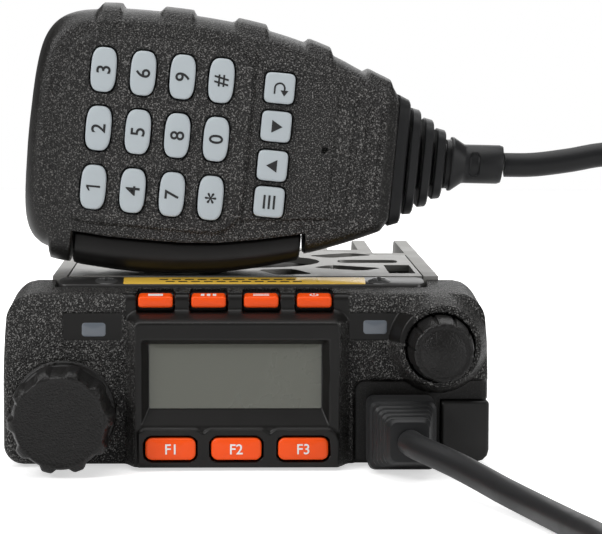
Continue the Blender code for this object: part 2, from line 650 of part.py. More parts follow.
def build_microphone():
    """The hand microphone, made upright about its own centre and then placed."""
    before = set(parts.objects)
    hollow_outline = scaled(MIC_OUTLINE, 1 - MIC_WALL / 38.0, 1 - MIC_WALL / 26.0)
    depth = MIC_HALF - MIC_WALL
    for name, side in (("mic_front_shell", "front"), ("mic_back_shell", "back")):
        shell = upright_prism(name, MIC_OUTLINE, (0, 0), (-MIC_HALF, MIC_HALF), None, MIC_ROUND)
        other_half = (-MIC_SEAM, 20) if side == "front" else (-20, MIC_SEAM)
        hollow = (-depth, 1) if side == "front" else (-1, depth)
        cut(shell,
            box(name + "_other_half", (-60, 60), other_half, (-60, 60), cutters),
            upright_prism(name + "_hollow", hollow_outline, (0, 0), hollow, cutters),
            box(name + "_lever_opening", PTT_SPAN, (-20, 20), (-31, PTT_LIP), cutters),
            box(name + "_lever_room", PTT_SPAN, (-PTT_HALF - GAP, PTT_HALF + GAP),
                (-31, PTT_ROOM), cutters))
        dress(shell, DARK, 0.6)
    front_shell = bpy.data.objects["mic_front_shell"]
    caps = [(name, u, v, NUMBER_KEY_SIZE, 2.2)
            for v, names in zip(NUMBER_KEYS_V, NUMBER_KEY_NAMES)
            for u, name in zip(NUMBER_KEYS_U, names)]
    caps += [(name, MENU_KEYS_U, v, MENU_KEY_SIZE, 1.2) for name, v in MENU_KEYS]
    for name, u, v, (width, height), radius in caps:
        key = upright_prism(name, rounded_outline(width, height, radius, 2), (u, v), KEY_Y)
        dress(key, KEY_GREY, 0.4)
        cut(front_shell, box(name + "_hole", (u - width / 2 - GAP, u + width / 2 + GAP),
                             (-15, -9), (v - height / 2 - GAP, v + height / 2 + GAP), cutters))
    dress(box("mic_board", (-31, 23), MIC_BOARD_Y, (-14.5, 15.5)), BOARD_GREEN, 0.5)
    capsule = cylinder("mic_capsule", 4.5, (22.3 - 0.5, RELIEF_V), (-11.0, -7.9), "Y", 16)
    dress(capsule, (0.5, 0.5, 0.5), 0.4, 0.8)
    cut(front_shell, cylinder("sound_hole", 0.6, (22.3, RELIEF_V), (-15, -10), "Y", 8, cutters))
    dress(box("ptt_switch", (-14, -6), (-4, 4), (-17.6, -13.0)), DARK, 0.4)
    lever = upright_prism("ptt_lever", PTT_OUTLINE, (0, 0), (-PTT_HALF, PTT_HALF), None, 0.8)
    dress(lever, DARK, 0.65)
    stud = turned("hang_stud", [(0.0, 4.0), (1.6, 4.0), (2.2, 6.2), (3.8, 6.2), (4.4, 5.2)],
                  (0, MIC_HALF + GAP, 2), (0, 1, 0), 16)
    dress(stud, (0.55, 0.55, 0.55), 0.3, 1.0)
    relief = turned("mic_strain_relief", RELIEF_PROFILE, (0, 0, RELIEF_V), (1, 0, 0), 14)
    dress(relief, (0.03, 0.03, 0.032), 0.65)

    holder = bpy.data.objects.new("microphone_place", None)
    parts.objects.link(holder)
    pieces = [thing for thing in parts.objects if thing not in before and thing != holder]
    tools = [modifier.object for piece in pieces for modifier in piece.modifiers
             if modifier.type == "BOOLEAN"]
    for thing in pieces + tools:
        thing.parent = holder
    holder.location = Vector(MIC_PLACE) * MM
    holder.rotation_euler = (0, radians(MIC_TILT), 0)


def build_cord():
    """The cord: a tail from the microphone, the curly length and a tail to the plug."""
    spacing = 4 * CORD_RADIUS
    for name, route in (("cord_mic_tail", MIC_TAIL_ROUTE), ("cord_plug_tail", PLUG_TAIL_ROUTE)):
        dress(tube(name, smooth_route(route, spacing), CORD_RADIUS), (0.03, 0.03, 0.033), 0.5)
    start, end = (Vector(point) for point in CURLY_ENDS)
    along = (end - start).normalized()
    ends = [start + along * GAP, end - along * GAP]
    dress(tube("cord_curly", ends, CURLY_RADIUS), (0.03, 0.03, 0.033), 0.5)


def shade():
    """Round pieces are shaded smooth, and edges over 35 degrees stay sharp."""
    for thing in parts.objects:
        if thing.type == "MESH":
            thing.data.shade_smooth()
            thing.data.set_sharp_from_angle(angle=radians(35))


def main():
    global parts, cutters
    clear_scene()
    parts = make_collection("mobile_transceiver")
    cutters = make_collection("cutters")
    build_chassis()
    build_covers()
    build_panel()
    build_panel_fittings()
    build_inside()
    build_rear()
    build_controls()
    build_plug()
    build_microphone()
    build_cord()
    shade()


main()
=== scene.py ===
"""Looks of a compact mobile transceiver and its hand microphone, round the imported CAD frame.

Lengths inside this script are millimetres in the frame's axes (+X right, +Y back, +Z up);
a mesh gets metres when it is made.
"""
import logging
import math
from dataclasses import dataclass, field
from enum import Enum
from typing import Callable, Optional, Sequence

import bmesh
import bpy
import numpy as np
from mathutils import Matrix, Vector


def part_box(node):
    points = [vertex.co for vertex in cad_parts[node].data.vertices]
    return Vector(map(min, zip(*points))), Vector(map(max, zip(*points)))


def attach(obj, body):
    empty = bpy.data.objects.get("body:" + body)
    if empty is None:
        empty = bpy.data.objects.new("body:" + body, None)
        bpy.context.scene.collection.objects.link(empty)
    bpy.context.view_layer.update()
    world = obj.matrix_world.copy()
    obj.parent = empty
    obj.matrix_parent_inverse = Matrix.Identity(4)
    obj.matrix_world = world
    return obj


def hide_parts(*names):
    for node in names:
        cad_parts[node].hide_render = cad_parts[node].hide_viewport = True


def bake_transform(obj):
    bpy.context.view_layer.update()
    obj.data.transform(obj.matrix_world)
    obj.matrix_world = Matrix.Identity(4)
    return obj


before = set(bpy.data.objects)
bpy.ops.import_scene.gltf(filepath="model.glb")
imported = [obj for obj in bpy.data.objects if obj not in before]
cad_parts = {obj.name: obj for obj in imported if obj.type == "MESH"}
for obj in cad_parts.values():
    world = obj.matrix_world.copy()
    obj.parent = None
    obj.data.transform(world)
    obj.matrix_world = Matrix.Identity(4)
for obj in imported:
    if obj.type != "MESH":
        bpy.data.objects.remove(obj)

Array = np.ndarray
MM = 0.001
log = logging.getLogger("transceiver")


# ------------------------------------------------------------------ shapes in numpy
def smooth_step(value: Array) -> Array:
    """Ease a value from 0 to 1: t squared times (3 minus 2 t), with t kept in 0..1."""
    kept = np.clip(value, 0.0, 1.0)
    return kept * kept * (3.0 - 2.0 * kept)


def inside(distance: Array, width: float) -> Array:
    """1 inside a shape and 0 outside it, eased over a width about its edge.

    Args:
        distance: signed distance to the edge, negative inside.
        width: how wide the change is.

    Returns:
        The share of the shape at each point.
    """
    return 1.0 - smooth_step(distance / width + 0.5)


def box_distance(across: Array, up: Array, centre: tuple[float, float],
                 half: tuple[float, float], radius: float) -> Array:
    """Signed distance to a rectangle with round corners.

    The distance is that of the point's offset from the inner rectangle, less the radius.

    Args:
        across, up: coordinates of the points.
        centre: the rectangle's centre.
        half: its half width and half height.
        radius: its corner radius.

    Returns:
        Distances, negative inside.
    """
    dx = np.abs(across - centre[0]) - half[0] + radius
    dz = np.abs(up - centre[1]) - half[1] + radius
    outer = np.hypot(np.maximum(dx, 0.0), np.maximum(dz, 0.0))
    return outer + np.minimum(np.maximum(dx, dz), 0.0) - radius


def grid_quads(rows: int, columns: int, closed: bool = False) -> Array:
    """Faces of a grid of points stored row by row; closed joins the last column to the first."""
    row = np.arange(rows - 1)[:, None] * columns
    column = np.arange(columns if closed else columns - 1)[None, :]
    after = (column + 1) % columns
    quads = np.stack([row + column, row + after, row + columns + after, row + columns + column],
                     axis=-1)
    return quads.reshape(-1, 4)


def rounded_ring(half_width: float, half_height: float, power: float, count: int) -> Array:
    """Points round a superellipse: each coordinate is its half size times the cosine or sine
    of the angle raised to 2/power, with its sign kept."""
    angle = 2.0 * np.pi * (np.arange(count) + 0.5) / count
    cosine, sine = np.cos(angle), np.sin(angle)
    across = half_width * np.sign(cosine) * np.abs(cosine) ** (2.0 / power)
    up = half_height * np.sign(sine) * np.abs(sine) ** (2.0 / power)
    return np.stack([across, up], axis=-1)


def cornered_ring(half_width: float, half_height: float, radius: float, steps: int = 6) -> Array:
    """Points round a rectangle with arcs of a radius at its corners, counter-clockwise."""
    quarter = np.linspace(0.0, 0.5 * np.pi, steps)
    corners = []
    for sign_x, sign_z, start in ((1, 1, 0.0), (-1, 1, 0.5), (-1, -1, 1.0), (1, -1, 1.5)):
        angle = quarter + start * np.pi
        corners.append(np.stack([sign_x * (half_width - radius) + radius * np.cos(angle),
                                 sign_z * (half_height - radius) + radius * np.sin(angle)], -1))
    return np.concatenate(corners)


def smooth_route(points: Sequence[Sequence[float]], spacing: float) -> Array:
    """Even points along a Catmull-Rom curve through a route's own points.

    Each stretch is the cubic whose slopes at its ends are half the step between the
    neighbouring points; the samples are then spread evenly by length.

    Args:
        points: the route, in millimetres.
        spacing: distance between the points given back.

    Returns:
        An array of points, one in each row.
    """
    route = np.array(points, float)
    route = np.vstack([2 * route[0] - route[1], route, 2 * route[-1] - route[-2]])
    part = np.linspace(0.0, 1.0, 24, endpoint=False)[None, :, None]
    before, start, end, after = (route[i:len(route) - 3 + i, None, :] for i in range(4))
    dense = 0.5 * (2 * start + (end - before) * part
                   + (2 * before - 5 * start + 4 * end - after) * part ** 2
                   + (3 * start - before - 3 * end + after) * part ** 3)
    dense = np.vstack([dense.reshape(-1, 3), route[-2]])
    return even_points(dense, spacing)


def even_points(line: Array, spacing: float) -> Array:
    """Read a line again at an even spacing, by linear steps along its length."""
    length = np.concatenate([[0.0], np.cumsum(np.linalg.norm(np.diff(line, axis=0), axis=1))])
    count = max(3, int(round(length[-1] / spacing)) + 1)
    wanted = np.linspace(0.0, length[-1], count)
    return np.stack([np.interp(wanted, length, line[:, i]) for i in range(3)], axis=-1)


def sweep(line: Array, radius: float, sides: int) -> Array:
    """Rings of a round tube along a line.

    The first ring's axes are any pair square to the line; each later pair is the one before
    turned with the line, so the tube doesn't twist.

    Args:
        line: centre points.
        radius: tube radius, one number.
        sides: points round a ring.

    Returns:
        An array of rings: line points by sides by 3.
    """
    tangent = np.gradient(line, axis=0)
    tangent /= np.linalg.norm(tangent, axis=1)[:, None]
    side = np.cross(tangent[0], [0.0, 0.0, 1.0])
    sides_along = []
    for direction in tangent:
        side = side - direction * (side @ direction)
        side = side / np.linalg.norm(side)
        sides_along.append(side)
    first = np.array(sides_along)
    second = np.cross(tangent, first)
    angle = 2.0 * np.pi * np.arange(sides) / sides
    return (line[:, None, :] + radius * (first[:, None, :] * np.cos(angle)[None, :, None]
                                         + second[:, None, :] * np.sin(angle)[None, :, None]))


# ------------------------------------------------------------------ making pieces
@dataclass
class Surface:
    """Points and faces of a mesh in the making, in millimetres."""

    points: Array
    quads: Array
    caps: list[list[int]] = field(default_factory=list)
    grain: Optional[Array] = None

    @classmethod
    def from_rings(cls, rings: Array) -> "Surface":
        """A closed skin through rings of points, with a flat face at each end."""
        count, sides = rings.shape[:2]
        last = (count - 1) * sides
        caps = [list(range(sides))[::-1], list(range(last, last + sides))]
        return cls(rings.reshape(-1, 3), grid_quads(count, sides, True), caps)

    @classmethod
    def from_face(cls, face: Array, rings: Sequence[Array], grain: Optional[Array] = None,
                  edge_grain: Optional[Array] = None) -> "Surface":
        """A grid that is the front of a block, carried back by rings round its border.

        Args:
            face: rows by columns by 3.
            rings: points for each border point of the grid, one array a ring.
            grain: a value for each point of the grid.
            edge_grain: a value for each point of the rings, 1 where it isn't given.

        Returns:
            The closed skin.
        """
        rows, columns = face.shape[:2]
        border = border_of(rows, columns)
        start = rows * columns
        loops = [border] + [start + i * len(border) + np.arange(len(border))
                            for i in range(len(rings))]
        bands = []
        for near, far in zip(loops, loops[1:]):
            bands.append(np.stack([near, far, np.roll(far, -1), np.roll(near, -1)], axis=-1))
        quads = np.vstack([grid_quads(rows, columns), *bands])
        points = np.vstack([face.reshape(-1, 3), *rings])
        if grain is not None:
            if edge_grain is None:
                edge_grain = np.ones(len(border) * len(rings))
            grain = np.concatenate([grain.ravel(), edge_grain])
        return cls(points, quads, [loops[-1].tolist()], grain)

    @classmethod
    def turned(cls, profile: Sequence[tuple[float, float]], place: Sequence[float],
               axis: str, sides: int = 48) -> "Surface":
        """Spin (distance, radius) pairs about an axis through a place.

        Args:
            profile: pairs from one end to the other, with radius above 0.
            place: where distance 0 is.
            axis: "X", "Y" or "Z".
            sides: points round.

        Returns:
            The closed skin.
        """
        pairs = np.array(profile, float)
        angle = 2.0 * np.pi * np.arange(sides) / sides
        flat = np.stack([np.broadcast_to(pairs[:, :1], (len(pairs), sides)),
                         pairs[:, 1:] * np.cos(angle)[None, :],
                         pairs[:, 1:] * np.sin(angle)[None, :]], axis=-1)
        order = {"X": (0, 1, 2), "Y": (2, 0, 1), "Z": (1, 2, 0)}[axis]
        return cls.from_rings(flat[..., list(order)] + np.array(place, float))


def border_of(rows: int, columns: int) -> Array:
    """Indices of a grid's border points, once round."""
    grid = np.arange(rows * columns).reshape(rows, columns)
    return np.concatenate([grid[0, :-1], grid[:-1, -1], grid[-1, :0:-1], grid[:0:-1, 0]])


def middle(node: str) -> Array:
    """Centre of a CAD node's box, in millimetres."""
    low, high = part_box(node)
    return (np.array(low) + np.array(high)) / 2.0 / MM


def extent(node: str) -> Array:
    """Size of a CAD node's box, in millimetres."""
    low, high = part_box(node)
    return (np.array(high) - np.array(low)) / MM


def settle(piece: bpy.types.Object, finish: "Finish", body: str,
           stands_for: Sequence[str] = ()) -> bpy.types.Object:
    """Give a piece its material, body and the nodes it stands for."""
    piece.data.materials.clear()
    piece.data.materials.append(finish.material())
    if body:
        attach(piece, body)
    if stands_for:
        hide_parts(*stands_for)
    log.info("%s: %d faces, %s", piece.name, len(piece.data.polygons), finish.name)
    return piece


def make_piece(name: str, surface: Surface, finish: "Finish", body: str,
               stands_for: Sequence[str] = (), sharp: float = 40.0) -> bpy.types.Object:
    """Turn a surface into an object with outward faces.

    Args:
        name: the piece's name.
        surface: its points and faces.
        finish: its material.
        body: the CAD body that it rides on.
        stands_for: CAD nodes that it replaces.
        sharp: edges over this angle, in degrees, stay sharp.

    Returns:
        The object, linked and riding.
    """
    mesh = bpy.data.meshes.new(name)
    mesh.from_pydata((surface.points * MM).tolist(), [], surface.quads.tolist() + surface.caps)
    if surface.grain is not None:
        mesh.attributes.new("grain", "FLOAT", "POINT").data.foreach_set(
            "value", surface.grain.astype(np.float32))
    shape = bmesh.new()
    shape.from_mesh(mesh)
    bmesh.ops.remove_doubles(shape, verts=shape.verts, dist=1e-6)
    bmesh.ops.recalc_face_normals(shape, faces=shape.faces)
    shape.to_mesh(mesh)
    shape.free()
    mesh.shade_smooth()
    mesh.set_sharp_from_angle(angle=math.radians(sharp))
    piece = bpy.data.objects.new(name, mesh)
    bpy.context.scene.collection.objects.link(piece)
    return settle(piece, finish, body, stands_for)


def soften(node: str, finish: "Finish", body: str, width: float,
           steps: int = 2) -> bpy.types.Object:
    """A copy of a CAD node with its triangles merged to faces and its edges rounded.

    Args:
        node: the CAD node, which the copy stands for.
        finish, body: as for make_piece.
        width: bevel width in millimetres.
        steps: bevel segments.

    Returns:
        The piece.
    """
    shape = bmesh.new()
    shape.from_mesh(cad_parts[node].data)
    bmesh.ops.remove_doubles(shape, verts=shape.verts, dist=1e-5)
    bmesh.ops.dissolve_limit(shape, angle_limit=math.radians(1.0), verts=shape.verts,
                             edges=shape.edges)
    mesh = bpy.data.meshes.new(node + "_skin")
    shape.to_mesh(mesh)
    shape.free()
    mesh.shade_smooth()
    mesh.set_sharp_from_angle(angle=math.radians(35.0))
    piece = bpy.data.objects.new(node + "_skin", mesh)
    bpy.context.scene.collection.objects.link(piece)
    bevel = piece.modifiers.new("edges", "BEVEL")
    bevel.width = width * MM
    bevel.segments = steps
    bevel.limit_method = "ANGLE"
    bevel.angle_limit = math.radians(40.0)
    bevel.harden_normals = False
    return settle(piece, finish, body, [node])


# ------------------------------------------------------------------ finishes
def make_group(name: str, inputs: dict[str, float], outputs: Sequence[str]
               ) -> tuple[bpy.types.NodeTree, bpy.types.Node, bpy.types.Node]:
    """A new shader node group with value sockets.

    Args:
        name: the group's name.
        inputs: socket names and their default values.
        outputs: names of the value sockets that it gives.

    Returns:
        The tree, its input node and its output node.
    """
    tree = bpy.data.node_groups.new(name, "ShaderNodeTree")
    for socket, value in inputs.items():
        tree.interface.new_socket(socket, in_out="INPUT",
                                  socket_type="NodeSocketFloat").default_value = value
    for socket in outputs:
        tree.interface.new_socket(socket, in_out="OUTPUT", socket_type="NodeSocketFloat")
    return tree, tree.nodes.new("NodeGroupInput"), tree.nodes.new("NodeGroupOutput")


def arithmetic(tree: bpy.types.NodeTree, operation: str, first: object, second: object
               ) -> bpy.types.NodeSocket:
    """A Math node on two sockets or numbers; gives its output socket."""
    node = tree.nodes.new("ShaderNodeMath")
    node.operation = operation
    for socket, value in zip(node.inputs, (first, second)):
        if isinstance(value, (int, float)):
            socket.default_value = value
        else:
            tree.links.new(value, socket)
    return node.outputs[0]


def grain_group() -> bpy.types.NodeTree:
    """Moulded grain: one less the distance to a cell's middle, plus noise. Gives this as Height, and a mask of
    painted glints where the noise is high: light specks that stand for light sparkling off the grain."""
    found = bpy.data.node_groups.get("moulded_grain_and_glints")
    if found:
        return found
    tree, given, put = make_group("moulded_grain_and_glints", {"Scale": 1800.0, "Roughening": 0.5},
                                  ["Height", "Fleck"])
    place = tree.nodes.new("ShaderNodeTexCoord")
    pebbles = tree.nodes.new("ShaderNodeTexVoronoi")
    pebbles.feature = "SMOOTH_F1"
    noise = tree.nodes.new("ShaderNodeTexNoise")
    noise.inputs["Detail"].default_value = 3.0
    for node in (pebbles, noise):
        tree.links.new(place.outputs["Object"], node.inputs["Vector"])
        tree.links.new(given.outputs["Scale"], node.inputs["Scale"])
    rounded = arithmetic(tree, "SUBTRACT", 1.0, pebbles.outputs["Distance"])
    rough = arithmetic(tree, "MULTIPLY", noise.outputs["Fac"], given.outputs["Roughening"])
    tree.links.new(arithmetic(tree, "ADD", rounded, rough), put.inputs["Height"])
    # Painted glints: where the noise is high, the colour is lifted to light specks, a painted highlight of the
    # grain's sparkle.
    fleck = tree.nodes.new("ShaderNodeMapRange")
    fleck.inputs["From Min"].default_value = 0.53
    fleck.inputs["From Max"].default_value = 0.68
    tree.links.new(noise.outputs["Fac"], fleck.inputs["Value"])
    tree.links.new(fleck.outputs["Result"], put.inputs["Fleck"])
    return tree


def tone_group() -> bpy.types.NodeTree:
    """Slow uneven tone, as from handling. Gives a value about 0.5 and a Smear mask."""
    found = bpy.data.node_groups.get("handled_tone")
    if found:
        return found
    tree, given, put = make_group("handled_tone", {"Scale": 60.0}, ["Tone", "Smear"])
    place = tree.nodes.new("ShaderNodeTexCoord")
    broad = tree.nodes.new("ShaderNodeTexNoise")
    broad.inputs["Detail"].default_value = 5.0
    broad.inputs["Distortion"].default_value = 0.6
    tree.links.new(place.outputs["Object"], broad.inputs["Vector"])
    tree.links.new(given.outputs["Scale"], broad.inputs["Scale"])
    tree.links.new(broad.outputs["Fac"], put.inputs["Tone"])
    smear = tree.nodes.new("ShaderNodeMapRange")
    smear.inputs["From Min"].default_value = 0.5
    smear.inputs["From Max"].default_value = 0.75
    tree.links.new(broad.outputs["Fac"], smear.inputs["Value"])
    tree.links.new(smear.outputs["Result"], put.inputs["Smear"])
    return tree


def dust_group() -> bpy.types.NodeTree:
    """Dust that lies on faces that look up: the normal's height times fine noise."""
    found = bpy.data.node_groups.get("settled_dust")
    if found:
        return found
    tree, given, put = make_group("settled_dust", {"Amount": 0.1}, ["Dust"])
    facing = tree.nodes.new("ShaderNodeNewGeometry")
    split = tree.nodes.new("ShaderNodeSeparateXYZ")
    tree.links.new(facing.outputs["Normal"], split.inputs["Vector"])
    upward = tree.nodes.new("ShaderNodeMapRange")
    upward.inputs["From Min"].default_value = 0.4
    tree.links.new(split.outputs["Z"], upward.inputs["Value"])
    place = tree.nodes.new("ShaderNodeTexCoord")
    noise = tree.nodes.new("ShaderNodeTexNoise")
    noise.inputs["Scale"].default_value = 420.0
    noise.inputs["Detail"].default_value = 4.0
    tree.links.new(place.outputs["Object"], noise.inputs["Vector"])
    patchy = arithmetic(tree, "MULTIPLY", upward.outputs["Result"], noise.outputs["Fac"])
    tree.links.new(arithmetic(tree, "MULTIPLY", patchy, given.outputs["Amount"]),
                   put.inputs["Dust"])
    return tree


class Family(Enum):
    """What a finish is made of, which sets its gloss and sheen."""

    PLASTIC = "plastic"
    METAL = "metal"
    RUBBER = "rubber"
    LENS = "lens"


@dataclass(frozen=True)
class Finish:
    """One surface finish, with the numbers that its material is built from.

    colour is the linear colour of the finish. The second linear colour shows where it is
    handled, and in its painted glints: light specks that stand for light sparkling off the grain.
    grain is the size of a pebble and depth the height of the bump, both in millimetres.
    tone_size and tone_weight give the size and strength of slow changes of tone, the glint
    strength how strong the painted glints are, coat and gloss the clear coat and the specular
    level, and dust how much lies on faces that look up. A masked finish takes the strength of
    its grain and painted glints from the mesh's own grain values.
    """

    name: str
    colour: tuple[float, float, float]
    worn: tuple[float, float, float]
    roughness: float = 0.5
    family: Family = Family.PLASTIC
    grain: float = 0.5
    depth: float = 0.03
    tone_size: float = 12.0
    tone_weight: float = 0.5
    coat: float = 0.0
    gloss: float = 0.5
    dust: float = 0.0
    fleck: float = 0.0
    masked: bool = False

    def material(self) -> bpy.types.Material:
        """Build the material once and give it back.

        Returns:
            The Principled material with its grain, tone and dust.
        """
        found = bpy.data.materials.get(self.name)
        if found:
            return found
        made = bpy.data.materials.new(self.name)
        made.use_nodes = True
        tree = made.node_tree
        shader = tree.nodes["Principled BSDF"]
        self._set_gloss(shader)
        grain = self._group(tree, grain_group(), {"Scale": 1.0 / (self.grain * MM)})
        tone = self._group(tree, tone_group(), {"Scale": 1.0 / (self.tone_size * MM)})
        dust = self._group(tree, dust_group(), {"Amount": self.dust})
        worn_and_glint_share = arithmetic(tree, "MULTIPLY", tone.outputs["Tone"], self.tone_weight)
        # Painted glints: light specks of the second colour, a painted highlight of light sparkling off the
        # grain.
        if self.fleck:
            painted_glints = arithmetic(tree, "MULTIPLY", grain.outputs["Fleck"], self.fleck)
            if self.masked:
                painted_glints = arithmetic(tree, "MULTIPLY", painted_glints, self._mask(tree))
            worn_and_glint_share = arithmetic(tree, "ADD", worn_and_glint_share, painted_glints)
        base = self._mix(tree, worn_and_glint_share, self.colour, self.worn)
        dusty = self._mix(tree, dust.outputs["Dust"], base, (0.55, 0.53, 0.5))
        tree.links.new(dusty, shader.inputs["Base Color"])
        smear = arithmetic(tree, "MULTIPLY", tone.outputs["Smear"], -0.12)
        roughness = arithmetic(tree, "ADD", smear, self.roughness)
        tree.links.new(roughness, shader.inputs["Roughness"])
        bump = tree.nodes.new("ShaderNodeBump")
        bump.inputs["Distance"].default_value = self.depth * MM
        bump.inputs["Strength"].default_value = 1.0
        height = grain.outputs["Height"]
        if self.masked:
            height = arithmetic(tree, "MULTIPLY", height, self._mask(tree))
        tree.links.new(height, bump.inputs["Height"])
        tree.links.new(bump.outputs["Normal"], shader.inputs["Normal"])
        return made

    def _set_gloss(self, shader: bpy.types.Node) -> None:
        """Put the numbers that are the same all over on the shader's own sockets."""
        metal = self.family is Family.METAL
        shader.inputs["Metallic"].default_value = 0.6 if metal else 0.0
        shader.inputs["Coat Weight"].default_value = self.coat
        shader.inputs["Specular IOR Level"].default_value = self.gloss
        shader.inputs["Coat Roughness"].default_value = 0.12
        if self.family is Family.RUBBER:
            shader.inputs["Sheen Weight"].default_value = 0.05
        if self.family is Family.LENS:
            shader.inputs["IOR"].default_value = 1.52
            shader.inputs["Coat Roughness"].default_value = 0.03

    @staticmethod
    def _group(tree: bpy.types.NodeTree, group: bpy.types.NodeTree,
               values: dict[str, float]) -> bpy.types.Node:
        """Place a shared effect in a material with its own values."""
        node = tree.nodes.new("ShaderNodeGroup")
        node.node_tree = group
        for socket, value in values.items():
            node.inputs[socket].default_value = value
        return node

    @staticmethod
    def _mask(tree: bpy.types.NodeTree) -> bpy.types.NodeSocket:
        """The mesh's own grain values."""
        node = tree.nodes.new("ShaderNodeAttribute")
        node.attribute_name = "grain"
        return node.outputs["Fac"]

    @staticmethod
    def _mix(tree: bpy.types.NodeTree, share: bpy.types.NodeSocket, first: object,
             second: object) -> bpy.types.NodeSocket:
        """A colour mix of sockets or plain colours; gives its output."""
        node = tree.nodes.new("ShaderNodeMix")
        node.data_type = "RGBA"
        tree.links.new(share, node.inputs[0])
        for index, value in ((6, first), (7, second)):
            if isinstance(value, tuple):
                node.inputs[index].default_value = (*value, 1.0)
            else:
                tree.links.new(value, node.inputs[index])
        return node.outputs[2]


# The panel and microphone plastics' light second colour is mostly painted glints: specks that stand for light
# sparkling off the grain, since the tone adds little.
PANEL_PLASTIC = Finish("panel_plastic", (0.0045, 0.0040, 0.0036), (0.235, 0.231, 0.223), 0.40,
                       grain=0.30, depth=0.30, tone_weight=0.01, gloss=0.32, fleck=0.9,
                       masked=True)
MIC_PLASTIC = Finish("microphone_plastic", (0.0050, 0.0045, 0.0041), (0.235, 0.229, 0.22), 0.40,
                     grain=0.31, depth=0.30, tone_weight=0.01, gloss=0.35, fleck=0.85,
                     masked=True)
SMOOTH_PLASTIC = Finish("smooth_plastic", (0.0050, 0.0045, 0.0042), (0.009, 0.0083, 0.0078),
                        0.38, grain=0.25, depth=0.008, gloss=0.28)
# The knob's second colour gives weaker painted glints of the same kind.
KNOB_PLASTIC = Finish("knob_plastic", (0.0055, 0.0050, 0.0048), (0.08, 0.078, 0.075), 0.38,
                      grain=0.32, depth=0.10, tone_weight=0.03, gloss=0.3, fleck=0.12)
CORNER_PLASTIC = Finish("corner_plastic", (0.015, 0.0146, 0.0142), (0.022, 0.0215, 0.021), 0.38,
                        grain=0.25, depth=0.008, gloss=0.32)
TRIM_BLACK = Finish("trim_black", (0.020, 0.0195, 0.019), (0.045, 0.044, 0.043), 0.34,
                    grain=0.3, depth=0.006, coat=0.15)
RUBBER = Finish("cord_rubber", (0.0058, 0.0060, 0.0066), (0.0105, 0.011, 0.012), 0.45,
                Family.RUBBER, grain=0.3, depth=0.012, gloss=0.3)
ORANGE = Finish("orange_plastic", (0.96, 0.085, 0.006), (1.0, 0.11, 0.010), 0.36,
                grain=0.2, depth=0.004, gloss=0.3)
KEY_PLASTIC = Finish("key_plastic", (0.43, 0.475, 0.50), (0.50, 0.545, 0.57), 0.42,
                     grain=0.25, depth=0.006, gloss=0.4)
LAMP_LENS = Finish("lamp_lens_plastic", (0.115, 0.132, 0.155), (0.14, 0.155, 0.18), 0.25,
                   Family.LENS, grain=0.3, depth=0.004, coat=0.3)
DISPLAY_PANE = Finish("display_pane_plastic", (0.098, 0.102, 0.082), (0.118, 0.122, 0.100), 0.3,
                      Family.LENS, grain=0.3, depth=0.0005, tone_size=30.0,
                      tone_weight=0.12, coat=0.3)
DISPLAY_MASK = Finish("display_mask_print", (0.008, 0.008, 0.008), (0.011, 0.011, 0.011), 0.3,
                      Family.LENS, grain=0.3, depth=0.0005, coat=0.3)
CAST_METAL = Finish("cast_metal_grey", (0.265, 0.26, 0.248), (0.35, 0.345, 0.33), 0.55,
                    Family.METAL, grain=0.35, depth=0.03, dust=0.10)
SHEET_METAL = Finish("sheet_metal_grey", (0.275, 0.27, 0.257), (0.36, 0.355, 0.34), 0.45,
                     Family.METAL, grain=0.28, depth=0.012, dust=0.08)
NICKEL = Finish("nickel_plate", (0.55, 0.54, 0.51), (0.62, 0.61, 0.58), 0.24,
                Family.METAL, grain=0.4, depth=0.004)
DARK_STEEL = Finish("dark_steel", (0.10, 0.10, 0.10), (0.17, 0.17, 0.17), 0.32,
                    Family.METAL, grain=0.3, depth=0.01)
LABEL_YELLOW = Finish("label_film", (0.84, 0.52, 0.06), (0.92, 0.62, 0.12), 0.32,
                      grain=0.3, depth=0.003, coat=0.2)
CONE_PAPER = Finish("cone_paper", (0.012, 0.012, 0.012), (0.03, 0.03, 0.03), 0.8,
                    grain=0.5, depth=0.05, dust=0.2)
BOARD_GREEN = Finish("board_green", (0.012, 0.085, 0.03), (0.03, 0.14, 0.05), 0.35,
                     grain=0.9, depth=0.02, coat=0.3)
CLEAR_PLUG = Finish("plug_plastic", (0.50, 0.50, 0.50), (0.60, 0.60, 0.60), 0.12,
                    Family.LENS, grain=0.4, depth=0.002, coat=0.6)
WHITE_INK = Finish("white_ink", (0.86, 0.86, 0.85), (0.80, 0.80, 0.79), 0.5,
                   grain=0.2, depth=0.002)
BLACK_INK = Finish("black_ink", (0.010, 0.010, 0.011), (0.015, 0.015, 0.016), 0.5,
                   grain=0.2, depth=0.002)


# ------------------------------------------------------------------ legends
@dataclass(frozen=True)
class Face:
    """A flat place for a legend: its centre and its right, up and outward directions."""

    centre: tuple[float, float, float]
    right: tuple[float, float, float]
    up: tuple[float, float, float]

    def matrix(self) -> Array:
        """Three rows: right, up and outward."""
        right, up = np.array(self.right), np.array(self.up)
        return np.stack([right, up, np.cross(right, up)])

    def place(self, flat: Array) -> Array:
        """Carry points of the face's own plane (and height above it) to the frame."""
        return flat @ self.matrix() + np.array(self.centre)


